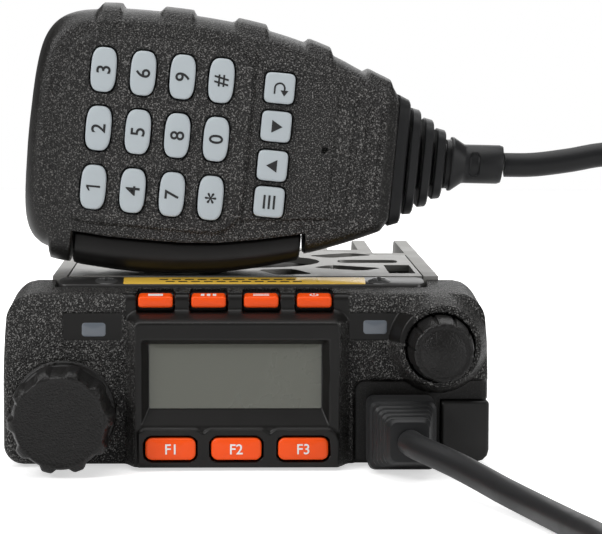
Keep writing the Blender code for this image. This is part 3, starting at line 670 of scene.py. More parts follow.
def printed_text(name: str, text: str, size: float, face: Face, finish: Finish, body: str) -> bpy.types.Object:
    """A character printed on a face, as a thin raised mesh.

    Args:
        name: the piece's name.
        text: a digit, sign or short mark.
        size: height of the type in millimetres.
        face: where it lies.
        finish, body: as for make_piece.

    Returns:
        The piece.
    """
    curve = bpy.data.curves.new(name, "FONT")
    curve.body = text
    curve.size = size
    curve.align_x = "CENTER"
    curve.align_y = "CENTER"
    curve.extrude = 0.02
    curve.offset = 0.012 * size
    curve.resolution_u = 4
    holder = bpy.data.objects.new(name + "_type", curve)
    bpy.context.scene.collection.objects.link(holder)
    bpy.context.view_layer.update()
    seen = holder.evaluated_get(bpy.context.evaluated_depsgraph_get())
    mesh = bpy.data.meshes.new_from_object(seen)
    mesh.name = name
    bpy.data.objects.remove(holder)
    points = np.zeros(len(mesh.vertices) * 3)
    mesh.vertices.foreach_get("co", points)
    points = points.reshape(-1, 3)
    low, high = points.min(0), points.max(0)
    points[:, :2] -= (low[:2] + high[:2]) / 2.0
    mesh.vertices.foreach_set("co", (face.place(points) * MM).ravel())
    piece = bpy.data.objects.new(name, mesh)
    bpy.context.scene.collection.objects.link(piece)
    return settle(piece, finish, body)


def printed_shape(name: str, outlines: Sequence[Sequence[tuple[float, float]]], face: Face,
                  finish: Finish, body: str) -> bpy.types.Object:
    """Flat shapes printed on a face: each outline is carried 0.04 mm up into a thin plate."""
    points, caps, quads, start = [], [], [], 0
    for outline in outlines:
        flat = np.array(outline, float)
        count = len(flat)
        for height in (-0.02, 0.02):
            points.append(np.column_stack([flat, np.full(count, height)]))
        index = np.arange(count)
        caps += [(start + index[::-1]).tolist(), (start + count + index).tolist()]
        after = np.roll(index, -1)
        quads.append(np.stack([start + index, start + after, start + count + after,
                               start + count + index], -1))
        start += 2 * count
    surface = Surface(face.place(np.vstack(points)), np.vstack(quads), caps)
    return make_piece(name, surface, finish, body)


def bar(centre: tuple[float, float], half: tuple[float, float]) -> list[tuple[float, float]]:
    """Corners of an upright rectangle."""
    (x, y), (a, b) = centre, half
    return [(x - a, y - b), (x + a, y - b), (x + a, y + b), (x - a, y + b)]


def arc_band(radius: float, thickness: float, start: float, end: float,
             count: int = 20) -> list[tuple[float, float]]:
    """Outline of a band along an arc, angles in degrees."""
    angle = np.radians(np.linspace(start, end, count))
    outer = np.stack([np.cos(angle), np.sin(angle)], -1) * (radius + thickness / 2)
    inner = np.stack([np.cos(angle), np.sin(angle)], -1)[::-1] * (radius - thickness / 2)
    return [tuple(p) for p in np.vstack([outer, inner])]


# ------------------------------------------------------------------ caps and knobs
def crowned_cap(ring: Callable[[float], Array], centre: Array, front: float, back: float,
                edge: float, crown: float) -> Surface:
    """A push-button cap whose face looks along -Y.

    Rings of the outline run from the back to the front edge, round it by a quarter circle
    of radius edge, and then shrink to the middle while the face rises by crown times one
    less the square of the share left.

    Args:
        ring: gives the outline shrunk by a distance.
        centre: middle of the cap, of which X and Z are used.
        front, back: Y of the face's edge and of the back.
        edge: radius of the face's edge.
        crown: how far the face's middle stands above its edge.

    Returns:
        The closed skin.
    """
    rings = []
    for depth in (back, front + edge):
        rings.append((ring(0.0), depth))
    for angle in np.linspace(0.25, 1.0, 4) * 0.5 * np.pi:
        rings.append((ring(edge * (1 - math.cos(angle))), front + edge * (1 - math.sin(angle))))
    inner = ring(edge)
    for share in (0.8, 0.55, 0.3, 0.08):
        rings.append((inner * share, front - crown * (1 - share ** 2)))
    stack = [np.column_stack([flat[:, 0] + centre[0], np.full(len(flat), depth),
                              flat[:, 1] + centre[2]]) for flat, depth in rings]
    return Surface.from_rings(np.array(stack))


@dataclass(frozen=True)
class Knob:
    """A turned control knob with grips, whose face looks along -Y."""

    node: str
    radius: float
    face_radius: float
    grips: int
    grip_height: float
    dome: float
    back: float
    phase: float
    lobed: bool
    flare: float = 0.0

    def surface(self) -> Surface:
        """Rings of the knob, from the panel to the middle of its face.

        A ring's radius is the profile's, plus the grip height times a wave that is cut from
        a cosine of the angle times the number of grips: broad lobes, or a plain band with
        narrow grooves. It fades out towards the face.

        Returns:
            The closed skin.
        """
        centre = middle(self.node)
        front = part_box(self.node)[0].y / MM
        reach, face = self.radius, self.face_radius
        along = np.array([self.back, self.back, front + 9.0, front + 5.0, front + 2.6,
                          front + 1.5, front + 0.8, front + 0.4, front + 0.2, front + 0.12,
                          front + 0.2, front + 0.24])
        wide = reach + self.flare
        radius = np.array([wide - 1.6, wide - 0.3, wide, reach + 0.5 * self.flare, reach - 0.1,
                           reach - 0.3, reach - 0.62, face + 0.45, face + 0.25, face,
                           face - 0.3, face - 0.7])
        grip = np.array([0.0, 0.5, 1.0, 1.0, 1.0, 0.95, 0.8, 0.5, 0.3, 0.05, 0, 0])
        share = np.array([0.92, 0.8, 0.65, 0.45, 0.25, 0.08])
        dome = front + 0.24 - self.dome * (1 - share ** 2)
        along = np.concatenate([along, dome])
        radius = np.concatenate([radius, (face - 0.7) * share])
        grip = np.concatenate([grip, np.zeros(len(share))])
        angle = 2 * np.pi * np.arange(self.grips * 24) / (self.grips * 24)
        swing = np.cos(self.grips * (angle - math.radians(self.phase)))
        wave = (np.clip(2.4 * swing - 0.5, -1.0, 1.0) if self.lobed
                else 1.0 - 2.0 * np.clip(9.0 * swing - 7.6, 0.0, 1.0))
        reach = radius[:, None] + grip[:, None] * self.grip_height * wave[None, :]
        rings = np.stack([centre[0] + reach * np.cos(angle)[None, :],
                          np.broadcast_to(along[:, None], reach.shape),
                          centre[2] + reach * np.sin(angle)[None, :]], axis=-1)
        return Surface.from_rings(rings)


@dataclass
class Controls:
    """The radio's knobs and orange buttons."""

    tuning: Knob = Knob("tuning_knob", 10.2, 8.85, 10, 0.45, -0.15, -57.9, 2.9, True)
    volume: Knob = Knob("volume_knob", 5.9, 5.3, 10, 0.2, 0.9, -56.6, 30.3, False, 0.55)
    front_back: float = -58.6
    top_slope: float = 0.16
    marks: tuple[str, str, str] = ("F1", "F2", "F3")

    def build(self) -> None:
        """Make the knobs, the buttons and their legends."""
        for knob in (self.tuning, self.volume):
            make_piece(knob.node + "_cap", knob.surface(), KNOB_PLASTIC, knob.node,
                       [knob.node])
            log.info("%s has %d grips", knob.node, knob.grips)
        for number, mark in enumerate(self.marks, start=1):
            self._front_button("front_button_%d" % number, mark)
        for number in range(1, 5):
            self._top_button("top_button_%d" % number, number)

    def _front_button(self, node: str, mark: str) -> None:
        """A crowned orange button with a short white mark."""
        size, centre = extent(node), middle(node)
        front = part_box(node)[0].y / MM
        surface = crowned_cap(lambda inset: cornered_ring(size[0] / 2 - inset,
                                                          size[2] / 2 - inset,
                                                          max(0.3, 1.35 - inset)),
                              centre, front + 0.15, self.front_back, 0.55, 0.15)
        make_piece(node + "_cap", surface, ORANGE, node, [node])
        face = Face((centre[0], front - 0.02, centre[2]), (1, 0, 0), (0, 0, 1))
        printed_text(node + "_mark", mark, 2.9, face, WHITE_INK, node)

    def _top_button(self, node: str, number: int) -> None:
        """An orange button on the panel's top edge: its face looks forward and its top,
        which is pressed, carries a white sign."""
        low, high = (np.array(corner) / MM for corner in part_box(node))
        centre = (low + high) / 2
        half_width, half_height = (high[0] - low[0]) / 2, (high[2] - low[2]) / 2
        surface = crowned_cap(lambda inset: cornered_ring(half_width - inset,
                                                          half_height - inset,
                                                          max(0.2, 0.7 - inset)),
                              centre, low[1] + 0.1, high[1], 0.45, 0.1)
        points = surface.points
        raised = np.clip((points[:, 2] - centre[2]) / half_height, 0.0, 1.0)
        points[:, 2] += raised * (self.top_slope * (points[:, 1] - high[1]))
        make_piece(node + "_cap", surface, ORANGE, node, [node])
        signs = {
            1: [bar((0, 0), (1.5, 0.75))],
            2: [bar((-1.2, 0), (0.35, 0.75)), bar((0, 0), (0.35, 0.75)),
                bar((1.2, 0), (0.35, 0.75))],
            3: [bar((0, 0.5), (1.6, 0.22)), bar((0, -0.4), (1.6, 0.22))],
            4: [arc_band(0.8, 0.28, 125, 415), bar((0, 0.65), (0.14, 0.5))],
        }
        slope = math.atan(self.top_slope)
        face = Face((centre[0], centre[1] + 0.1, high[2] - 1.35 * math.tan(slope) + 0.01),
                    (1, 0, 0), (0, math.cos(slope), math.sin(slope)))
        printed_shape(node + "_sign", signs[number], face, WHITE_INK, node)


# ------------------------------------------------------------------ front panel
@dataclass
class FrontPanel:
    """The moulded front with its raised display block, openings and shroud.

    The face is a height map over the panel's outline: each feature adds to, or takes from,
    how far the face stands in front of the plane at face_y.
    """

    face_y: float = -56.0
    back_y: float = -44.2
    half: float = 49.0
    low: float = 0.5
    high: float = 35.3
    slope: float = 0.158
    plate_from: float = 5.9
    plate_room: tuple[float, float] = (-38.7, 37.0)
    seat_top: float = 35.6
    corners: tuple[float, float] = (4.0, 5.2)
    lean: float = 1.2
    step: float = 0.25
    block_front: float = 4.5
    block_sides: tuple[float, float] = (-22.2, 18.5)
    block_middle: float = 10.0
    block_half_height: float = 19.7
    block_bevel: float = 2.4
    lamp_panels: tuple[tuple[str, float, float], ...] = (
        ("led_lens_left", 6.05, -30.95), ("led_lens_right", 6.5, 27.1))
    lamp_panel_middle: float = 28.6
    lamp_panel_half_height: float = 2.85
    lamp_panel_depth: float = 0.35
    lamp_hole: tuple[float, float] = (2.75, 1.75)
    lamp_hole_depth: float = 1.3
    glass_walls: tuple[float, float, float] = (1.5, 1.1, 3.5)
    glass_depth: float = 2.1
    arch_middle: float = 3.4
    arch_half: tuple[float, float] = (7.2, 5.1)
    arch_end: float = -21.7
    arch_height: float = 0.6
    well_half: tuple[float, float] = (5.27, 2.47)
    well_depth: float = 4.7
    collar_radii: tuple[float, float] = (10.5, 9.7)
    collar_steps: tuple[float, float] = (0.7, 0.5)
    shroud_radius: float = 8.2
    shroud_wall: float = 1.9
    shroud_front: float = 5.0
    bore_radius: float = 6.9
    socket_middle: tuple[float, float] = (36.2, 7.0)
    socket_half: tuple[float, float] = (14.4, 10.7)
    socket_depth: float = 0.8
    seat_shift: tuple[float, float] = (2.1, -1.0)
    seat_half: tuple[float, float] = (7.05, 7.35)
    seat_depth: float = 1.7
    plug_hole: tuple[float, float] = (5.8, 3.5)
    plug_hole_depth: float = 7.4
    notch_half: tuple[float, float] = (3.75, 5.0)
    notch_middle: float = 36.4
    notch_depth: float = 3.3
    rim_radius: float = 1.4
    recess_low: tuple[float, float] = (-21.1, 8.9)
    recess_high: tuple[float, float] = (16.7, 26.4)

    def half_width(self, up: Array) -> Array:
        """Half the panel's width at a height: the full half, less a lean that grows with the
        square of the height above 14 mm, less the corner arc's bite."""
        bottom, top = self.corners
        bite_low = np.clip(bottom - (up - self.low), 0, bottom)
        bite_high = np.clip(top - (self.high - up), 0, top)
        lean = self.lean * (np.clip(up - 14.0, 0.0, None) / 21.0) ** 2
        return (self.half - lean - (bottom - np.sqrt(bottom ** 2 - bite_low ** 2))
                - (top - np.sqrt(top ** 2 - bite_high ** 2)))

    def relief(self, across: Array, up: Array) -> tuple[Array, Array]:
        """How far the face stands out, and how grained it is.

        Args:
            across, up: X and Z of the points.

        Returns:
            Height in front of face_y, and a grain share from 0 to 1.
        """
        x, z = across, up
        grain = np.ones_like(x)
        left, right = self.block_sides
        block = box_distance(x, z, ((left + right) / 2, self.block_middle),
                             ((right - left) / 2, self.block_half_height), 1.0)
        slope = np.clip(1.0 - block / self.block_bevel, 0.0, 1.0)
        out = self.block_front * (slope - 0.06 * np.sin(2 * np.pi * slope) * (slope < 1))
        grain *= 1 - inside(block - 0.2, 0.6)

        for node, half, across_middle in self.lamp_panels:
            centre = middle(node)
            edge = box_distance(x, z, (across_middle, self.lamp_panel_middle),
                                (half, self.lamp_panel_half_height), 0.5)
            share = inside(edge, 0.4) * (block > 2.2)
            out -= self.lamp_panel_depth * share
            grain *= 1 - share
            hole = box_distance(x, z, (centre[0], centre[2]), self.lamp_hole, 0.9)
            out -= self.lamp_hole_depth * inside(hole, 0.3)
        band = inside(box_distance(x, z, (-1.8, 34.0), (22.6, 4.2), 0.6), 0.5)
        grain *= 1 - band * (block > 0)

        side, top, bottom = self.glass_walls
        glass = np.minimum.reduce([(x - self.recess_low[0]) / side,
                                   (self.recess_high[0] - x) / side,
                                   (self.recess_high[1] - z) / top,
                                   (z - self.recess_low[1]) / bottom])
        out -= self.glass_depth * np.clip(glass, 0.0, 1.0)

        centres = [middle("front_button_%d" % number) for number in (1, 2, 3)]
        arches = np.minimum.reduce([box_distance(x, z, (c[0], self.arch_middle),
                                                 self.arch_half, 2.4) for c in centres])
        arches = np.maximum(arches, self.arch_end - x)
        out += self.arch_height * inside(arches, 0.4)
        wells = np.minimum.reduce([box_distance(x, z, (c[0], c[2]), self.well_half, 1.5)
                                   for c in centres])
        out -= self.well_depth * inside(wells, 0.22)

        knob = middle("tuning_knob")
        collar = np.hypot(x - knob[0], z - knob[2])
        for radius, rise in zip(self.collar_radii, self.collar_steps):
            out += rise * inside(collar - radius, 0.35)
        grain *= 1 - inside(collar - self.collar_radii[0] - 0.2, 0.6)

        volume = middle("volume_knob")
        ring = np.hypot(x - volume[0], z - volume[2] - 0.3)
        cone = np.clip((self.shroud_radius + self.shroud_wall - ring) / self.shroud_wall,
                       0.0, 1.0)
        out = np.maximum(out, self.shroud_front * cone)
        bore = np.hypot(x - volume[0], z - volume[2]) - self.bore_radius
        out = out * (1 - inside(bore, 0.3))

        socket = box_distance(x, z, self.socket_middle, self.socket_half, 2.2)
        share = inside(socket, 0.6) * (1 - np.clip(cone * 2, 0, 1)) * (block > 2.0)
        out -= self.socket_depth * share
        grain *= 1 - 0.9 * share
        corner = middle("corner_block")
        seat = box_distance(x, z, (corner[0] + self.seat_shift[0],
                                   corner[2] + self.seat_shift[1]), self.seat_half, 0.4)
        out -= self.seat_depth * inside(seat, 0.2)
        plug = middle("plug_connector")
        hole = box_distance(x, z, (plug[0], plug[2]), self.plug_hole, 0.4)
        out -= self.plug_hole_depth * inside(hole, 0.3)

        for number in range(1, 5):
            button = middle("top_button_%d" % number)
            notch = box_distance(x, z, (button[0], self.notch_middle), self.notch_half, 0.5)
            share = inside(notch, 0.25)
            out = out * (1 - share) - self.notch_depth * share

        rim = box_distance(x, z, (0.0, (self.low + self.high) / 2),
                           (self.half, (self.high - self.low) / 2), 4.0)
        short = np.clip(self.rim_radius + rim, 0.0, self.rim_radius)
        out -= self.rim_radius - np.sqrt(self.rim_radius ** 2 - short ** 2)
        return out, grain

    def build(self) -> bpy.types.Object:
        """Make the panel from its height map and the rings that carry it back.

        The top slopes up to the rear by slope times the depth behind the face; it steps
        down to a seat under the trim plate.
        """
        rows = int((self.high - self.low) / self.step) + 1
        columns = int(2 * self.half / self.step) + 1
        height = np.linspace(self.low, self.high, rows)
        share = np.linspace(-1.0, 1.0, columns)
        up = np.broadcast_to(height[:, None], (rows, columns))
        across = self.half_width(height)[:, None] * share[None, :]
        out, grain = self.relief(across, up)
        face = np.stack([across, self.face_y - out, up], axis=-1)
        border = face.reshape(-1, 3)[border_of(rows, columns)]
        rings = []
        for depth in (1.8, 3.4, 5.0, 5.85, 5.95, 9.0, self.back_y - self.face_y):
            ring = border.copy()
            ring[:, 1] = np.maximum(ring[:, 1], self.face_y + depth)
            top = np.clip((ring[:, 2] - 28.0) / (self.high - 28.0), 0, 1) ** 2
            beside = (smooth_step((self.plate_room[0] - ring[:, 0]) / 0.4 + 0.5)
                      + smooth_step((ring[:, 0] - self.plate_room[1]) / 0.4 + 0.5))
            rise = self.slope * (ring[:, 1] - self.face_y - 1.2)
            if depth > self.plate_from:
                rise = rise * beside + (self.seat_top - self.high) * (1 - beside)
            ring[:, 2] += rise * top
            rings.append(ring)
        surface = Surface.from_face(face, rings, grain)
        return make_piece("front_panel_moulding", surface, PANEL_PLASTIC, "radio",
                          ["front_panel"], 50.0)

    def build_glass(self) -> None:
        """The display pane in its recess, and the two lamp lenses."""
        for name, half, depth, finish, slot in (
                ("display_mask", (18.4, 7.4), -58.36, DISPLAY_MASK, "display_frame"),
                ("display_pane", (17.3, 6.55), -58.45, DISPLAY_PANE, "display_pane")):
            centre = np.array([-2.2, 0.0, 18.9])
            surface = crowned_cap(lambda inset, half=half: cornered_ring(
                half[0] - inset, half[1] - inset, max(0.15, 0.4 - inset)), centre,
                depth - 0.1, depth + 0.6, 0.08, 0.0)
            stands_for = ["display_window"] if name == "display_pane" else ()
            make_piece(name, surface, finish, "radio", stands_for)
        for side in ("left", "right"):
            node = "led_lens_" + side
            centre = middle(node)
            surface = crowned_cap(lambda inset: cornered_ring(2.5 - inset, 1.5 - inset,
                                                              max(0.3, 0.75 - inset)),
                                  centre, self.face_y - 0.05, self.face_y + 0.9, 0.25, 0.12)
            make_piece(node + "_cap", surface, LAMP_LENS, "radio", [node])


# ------------------------------------------------------------------ radio body
@dataclass
class RadioBody:
    """Chassis, covers, screws, speaker and rear sockets."""

    softened: tuple[tuple[str, float], ...] = (("chassis", 0.8), ("bottom_plate", 0.25))
    screw_radius: float = 2.4
    plate_front: tuple[float, float] = (-49.6, 36.5)
    plate_slope: float = 0.2

    def build(self) -> None:
        """Make each piece of the body."""
        for node, width in self.softened:
            soften(node, CAST_METAL, "radio", width)
        soften("top_cover", SHEET_METAL, "radio", 0.22)
        self._sloped_plate("trim_plate", TRIM_BLACK, 0.0, -0.9, 0.2, 2.0)
        self._sloped_plate("label_strip", LABEL_YELLOW, 0.06, -0.02, 0.02, 0.3)
        soften("corner_block", CORNER_PLASTIC, "radio", 0.5, 3)
        soften("mic_socket", SMOOTH_PLASTIC, "radio", 0.15, 1)
        soften("power_inlet", RUBBER, "radio", 0.3)
        for node in ("trim_screw_left", "trim_screw_right"):
            self._screw(node)
        self._speaker()
        self._antenna_socket()
        self._label_border()
        self._jack()
        for node, finish in (("main_board", BOARD_GREEN), ("control_board", BOARD_GREEN),
                             ("display_module", DISPLAY_MASK), ("tuning_encoder", DARK_STEEL),
                             ("volume_control", DARK_STEEL), ("mic_board", BOARD_GREEN),
                             ("mic_capsule", DARK_STEEL), ("ptt_switch", SMOOTH_PLASTIC)):
            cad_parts[node].data.materials.clear()
            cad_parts[node].data.materials.append(finish.material())

    def plate_height(self, along: Array) -> Array:
        """Height of the trim plate's top: its front edge plus the slope times the depth."""
        return self.plate_front[1] + self.plate_slope * (along - self.plate_front[0])

    def _sloped_plate(self, node: str, finish: Finish, over: float, under: float,
                      edge: float, corner: float) -> None:
        """A thin plate on the panel's sloping top.

        Rings of a rounded rectangle run from its underside up to its edge and in over the
        rounding; each point's height is the slope's at its own depth, plus the ring's level.

        Args:
            node: the CAD node that it stands for, whose width and depth it takes.
            finish: as for make_piece.
            over, under: levels of its faces above the slope.
            edge: radius of its upper edge.
            corner: radius of its corners.
        """
        centre, size = middle(node), extent(node)
        levels = [(0.0, under), (0.0, over - edge), (0.3 * edge, over - 0.3 * edge),
                  (edge, over)]
        rings = []
        for inset, level in levels:
            flat = cornered_ring(size[0] / 2 - inset, size[1] / 2 - inset,
                                 max(0.1, corner - inset), 8)
            x, y = flat[:, 0] + centre[0], flat[:, 1] + centre[1]
            rings.append(np.column_stack([x, y, self.plate_height(y) + level]))
        make_piece(node + "_skin", Surface.from_rings(np.array(rings)), finish, "radio",
                   [node])

    def _screw(self, node: str) -> None:
        """A pan head with a cross recess: height over a disc is a shallow dome less a pit
        along either arm of the cross."""
        centre = middle(node)
        top = float(self.plate_height(centre[1])) + 0.5
        angle = 2 * np.pi * np.arange(64) / 64
        radius = np.concatenate([[self.screw_radius * 0.97, self.screw_radius],
                                 np.linspace(self.screw_radius * 0.96, 0.06, 22)])
        x = radius[:, None] * np.cos(angle)[None, :]
        y = radius[:, None] * np.sin(angle)[None, :]
        height = -0.5 * (radius[:, None] / self.screw_radius) ** 2.6 + 0 * x
        height[0], height[1] = -0.85, -0.62
        for along, beside in ((x, y), (y, x)):
            arm = np.maximum(np.abs(along) - 1.25, np.abs(beside) - 0.3)
            height = np.minimum(height, np.where(np.arange(len(radius))[:, None] > 1,
                                                 0.0 - 0.7 * inside(arm, 0.12), 0.0))
        rings = np.stack([x + centre[0], y + centre[1],
                          top + height + self.plate_slope * y], axis=-1)
        make_piece(node + "_head", Surface.from_rings(rings), DARK_STEEL, "radio",
                   [node])

    def _speaker(self) -> None:
        """The cone: surround roll, paper cone and dust cap, turned about the speaker's axis."""
        centre = middle("speaker")
        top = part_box("speaker")[1].z / MM
        roll = [(-0.9 + 0.8 * math.sin(math.pi * t), 28.5 - 4.0 * t) for t in np.linspace(0, 1, 9)]
        cone = [(-1.2 - 6.0 * t, 24.3 - 16.3 * t) for t in np.linspace(0, 1, 8)]
        cap = [(-7.0 + 2.4 * math.sin(0.5 * math.pi * t), 7.8 - 7.7 * t)
               for t in np.linspace(0, 1, 8)]
        profile = [(-12.0, 11.0), (-12.0, 19.0), (-6.0, 19.0), (-1.5, 29.0), (-0.6, 31.0),
                   (0.0, 31.0), (0.0, 29.0), *roll, *cone, *cap]
        make_piece("speaker_cone", Surface.turned(profile, (centre[0], centre[1], top), "Z", 72),
                   CONE_PAPER, "radio", ["speaker"])

    def _antenna_socket(self) -> None:
        """The threaded socket, turned, with a ridge every thread pitch."""
        centre = middle("antenna_socket")
        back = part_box("antenna_socket")[0].y / MM + 7.5
        pitch = 1.06
        count = 12
        thread = [(2.2 + pitch * (i + part), 7.9 - drop) for i in range(count)
                  for part, drop in ((0.0, 0.0), (0.25, 0.0), (0.5, 0.45), (0.75, 0.45))]
        profile = [(-7.4, 5.0), (0.0, 5.0), (0.05, 8.7), (0.3, 9.0), (1.3, 9.0), (1.6, 8.7),
                   (1.6, 7.4), *thread, (15.0, 7.4), (15.0, 6.4), (9.0, 6.2), (9.0, 2.0),
                   (14.0, 2.0), (14.3, 1.5), (14.3, 0.6)]
        make_piece("antenna_socket_turned",
                   Surface.turned(profile, (centre[0], back, centre[2]), "Y", 64), NICKEL,
                   "radio", ["antenna_socket"])

    def _jack(self) -> None:
        """The speaker jack's collar."""
        centre = middle("speaker_jack")
        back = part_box("speaker_jack")[0].y / MM + 7.5
        profile = [(-7.4, 3.2), (0.0, 3.2), (0.05, 4.0), (0.3, 4.2), (1.3, 4.2), (1.6, 3.9),
                   (1.6, 2.1), (1.3, 1.8), (-4.9, 1.8), (-4.9, 0.2)]
        make_piece("speaker_jack_collar",
                   Surface.turned(profile, (centre[0], back, centre[2]), "Y", 40),
                   SMOOTH_PLASTIC, "radio", ["speaker_jack"])

    def _label_border(self) -> None:
        """Plain printed bars on the yellow label."""
        centre = middle("label_strip")
        dashes = [bar((-16.5 + 2.6 * i, 0.75), (0.9, 0.28)) for i in range(11)]
        shapes = dashes + [bar((-15.2 + 2.6 * i, -0.75), (0.9, 0.28)) for i in range(11)]
        slope = math.atan(self.plate_slope)
        face = Face((centre[0], centre[1], float(self.plate_height(centre[1])) + 0.08),
                    (1, 0, 0), (0, math.cos(slope), math.sin(slope)))
        printed_shape("label_print", shapes, face, BLACK_INK, "radio")


# ------------------------------------------------------------------ microphone
@dataclass
class Microphone:
    """The hand microphone, worked out in its own axes: u along it towards the cord, v across
    it and w out of its face, and then tilted and set in place."""

    place: tuple[float, float, float] = (-6.3, -35.3, 65.3)
    tilt: float = 5.3
    half: float = 13.5
    seam: float = 0.15
    face: float = 12.7
    raised: float = 0.65
    columns: int = 326
    rows: int = 236
    lever_span: tuple[float, float] = (-27.5, 20.2)
    lip_line: tuple[tuple[float, float], ...] = (
        (-27.5, -20.5), (-20.0, -21.0), (-13.0, -21.0), (-5.0, -20.9), (2.0, -20.3),
        (10.0, -18.9), (16.0, -17.6), (20.2, -16.7))
    room: float = -18.1
    lever_half: float = 11.25
    lever_bottom: tuple[tuple[float, float], ...] = (
        (-26.9, -27.4), (-25.0, -27.7), (-18.0, -28.15), (-12.0, -28.2), (-6.0, -27.8),
        (1.5, -26.9), (6.0, -26.2), (10.8, -25.1), (16.0, -23.6), (19.6, -22.5))
    bumps: tuple[tuple[float, float], ...] = ((-25.8, -21.4), (-13.1, -6.6), (2.0, 8.5),
                                              (16.8, 22.0), (29.6, 35.0))
    strip: tuple[float, float] = (-26.3, 22.5)
    foot: tuple[float, float, float] = (-31.9, -27.5, 2.1)
    rib_starts: tuple[float, ...] = (40.2, 43.1, 45.9)
    rib_halves: tuple[float, ...] = (11.1, 9.3, 7.4)
    boot_base: tuple[tuple[float, float, float, float], ...] = (
        (36.7, 13.1, 11.2, 7), (36.9, 13.6, 11.5, 7), (38.9, 12.8, 11.2, 7),
        (39.2, 12.2, 10.8, 7), (39.25, 6.8, 6.6, 3))
    boot_cone: tuple[tuple[float, float, float, float], ...] = (
        (48.0, 4.3, 4.2, 3), (48.05, 5.1, 5.0, 3), (49.0, 5.1, 5.0, 3), (49.1, 5.6, 5.5, 3),
        (49.5, 5.6, 5.5, 3), (51.8, 4.1, 4.1, 2.2), (52.2, 4.05, 4.05, 2))
    sleeve_radius: float = 4.05
    pit_place: tuple[float, float] = (54.0, 0.0)
    pit_half: tuple[float, float] = (1.05, 2.4)
    pit_depth: float = 0.5
    boot_line: tuple[tuple[float, float], ...] = (
        (36.7, -0.45), (39.5, -0.5), (47.0, -0.5), (51.5, 0.0), (60.0, 0.6))
    grooves: tuple[tuple[float, float], ...] = ((28.2, 10.8), (31.0, 9.7), (33.9, 8.9))
    outline_points: tuple[tuple[float, float], ...] = (
        (-38.5, 0.0), (-38.3, -10.0), (-37.8, -18.5), (-35.8, -23.2), (-32.0, -25.2),
        (-24.0, -25.6), (-10.3, -25.9), (1.0, -25.4), (13.6, -23.8), (25.2, -19.9),
        (36.7, -14.9), (37.1, -13.8), (37.1, 12.9), (36.6, 14.3), (29.6, 16.9),
        (22.0, 20.3), (8.5, 23.8), (-6.6, 25.3), (-22.0, 25.3), (-31.0, 24.3),
        (-35.8, 21.0), (-37.9, 14.5))

    def to_frame(self, local: Array) -> Array:
        """Tilt points of (u, v, w) about Y and move them to the microphone's place."""
        angle = math.radians(self.tilt)
        u, v, w = local[..., 0], local[..., 1], local[..., 2]
        return np.stack([self.place[0] + u * math.cos(angle) + v * math.sin(angle),
                         self.place[1] - w,
                         self.place[2] - u * math.sin(angle) + v * math.cos(angle)], axis=-1)

    def to_local(self, point: Array) -> Array:
        """(u, v, w) of a point of the frame."""
        angle = math.radians(self.tilt)
        x, z = point[0] - self.place[0], point[2] - self.place[2]
        return np.array([x * math.cos(angle) - z * math.sin(angle),
                         x * math.sin(angle) + z * math.cos(angle), self.place[1] - point[1]])

    def outline(self) -> Array:
        """The housing's outline: each corner of the polygon is cut at a quarter and three
        quarters of its sides, three times over, which rounds it."""
        line = np.array(self.outline_points)
        for _ in range(3):
            after = np.roll(line, -1, axis=0)
            line = np.stack([0.75 * line + 0.25 * after, 0.25 * line + 0.75 * after],
                            axis=1).reshape(-1, 2)
        return line

    def inset(self, line: Array) -> Array:
        """The border of the flat face: the outline drawn in, least at the cord end."""
        return np.stack([36.3 + (line[:, 0] - 37.1) * 0.945, line[:, 1] * 0.835], axis=-1)

    def lip(self, u: Array) -> Array:
        """Lower edge of the housing in front of and behind the talk lever, at each u."""
        along, across = np.array(self.lip_line).T
        return np.interp(u, along, across)

    def span(self, line: Array, u: Array) -> tuple[Array, Array]:
        """Lowest and highest v of a closed outline at each u."""
        low_side = line[np.argsort(line[:, 0])]
        lower = low_side[low_side[:, 1] < 0]
        upper = low_side[low_side[:, 1] >= 0]
        return (np.interp(u, lower[:, 0], lower[:, 1]), np.interp(u, upper[:, 0], upper[:, 1]))

    def key_relief(self, u: Array, v: Array) -> tuple[Array, Array]:
        """Height of the keypad face over its border, and its grain.

        Args:
            u, v: coordinates of the points.

        Returns:
            Height above the face level, and a grain share.
        """
        grain = np.ones_like(u)
        pad = box_distance(u, v, (-12.2, 0.7), (18.9, 19.2), 6.5)
        keys = inside(pad, 0.8)
        narrow = 15.6 - 0.10 * (u - 6.0)
        second = np.maximum(np.abs(v - 0.4) - narrow, np.maximum(u - 24.2, 5.0 - u))
        out = self.raised * keys + (self.raised - 0.2) * inside(second, 0.7) * (1 - keys)
        out -= 0.35 * inside(np.abs(u - 6.9) - 0.35, 0.4) * inside(np.abs(v) - 19.0, 1.0)
        for node in KEYS:
            centre = self.to_local(middle(node))
            half = MENU_KEY_HALF if node in MENU_MARKS else NUMBER_KEY_HALF
            du = np.abs(u - centre[0]) / (half[0] + 0.16)
            dv = np.abs(v - centre[1]) / (half[1] + 0.16)
            power = KEY_POWER[node in MENU_MARKS]
            ratio = (du ** power + dv ** power) ** (1.0 / power)
            gap = (ratio - 1.0) * (half[0] + 0.16)
            share = inside(gap, 0.2)
            out = out * (1 - share) - 1.6 * share
        for along, reach in self.grooves:
            slot = box_distance(u, v, (along, 0.4), (0.62, reach), 0.55)
            out -= 0.38 * inside(slot, 0.4)
        out -= 1.2 * inside(np.hypot(u - 22.3, v - 0.6) - 0.55, 0.3)
        bare = inside(box_distance(u, v, (40.0, 0.0), (5.6, 30.0), 0.1), 0.5)
        return out, grain * (1 - 0.8 * bare)

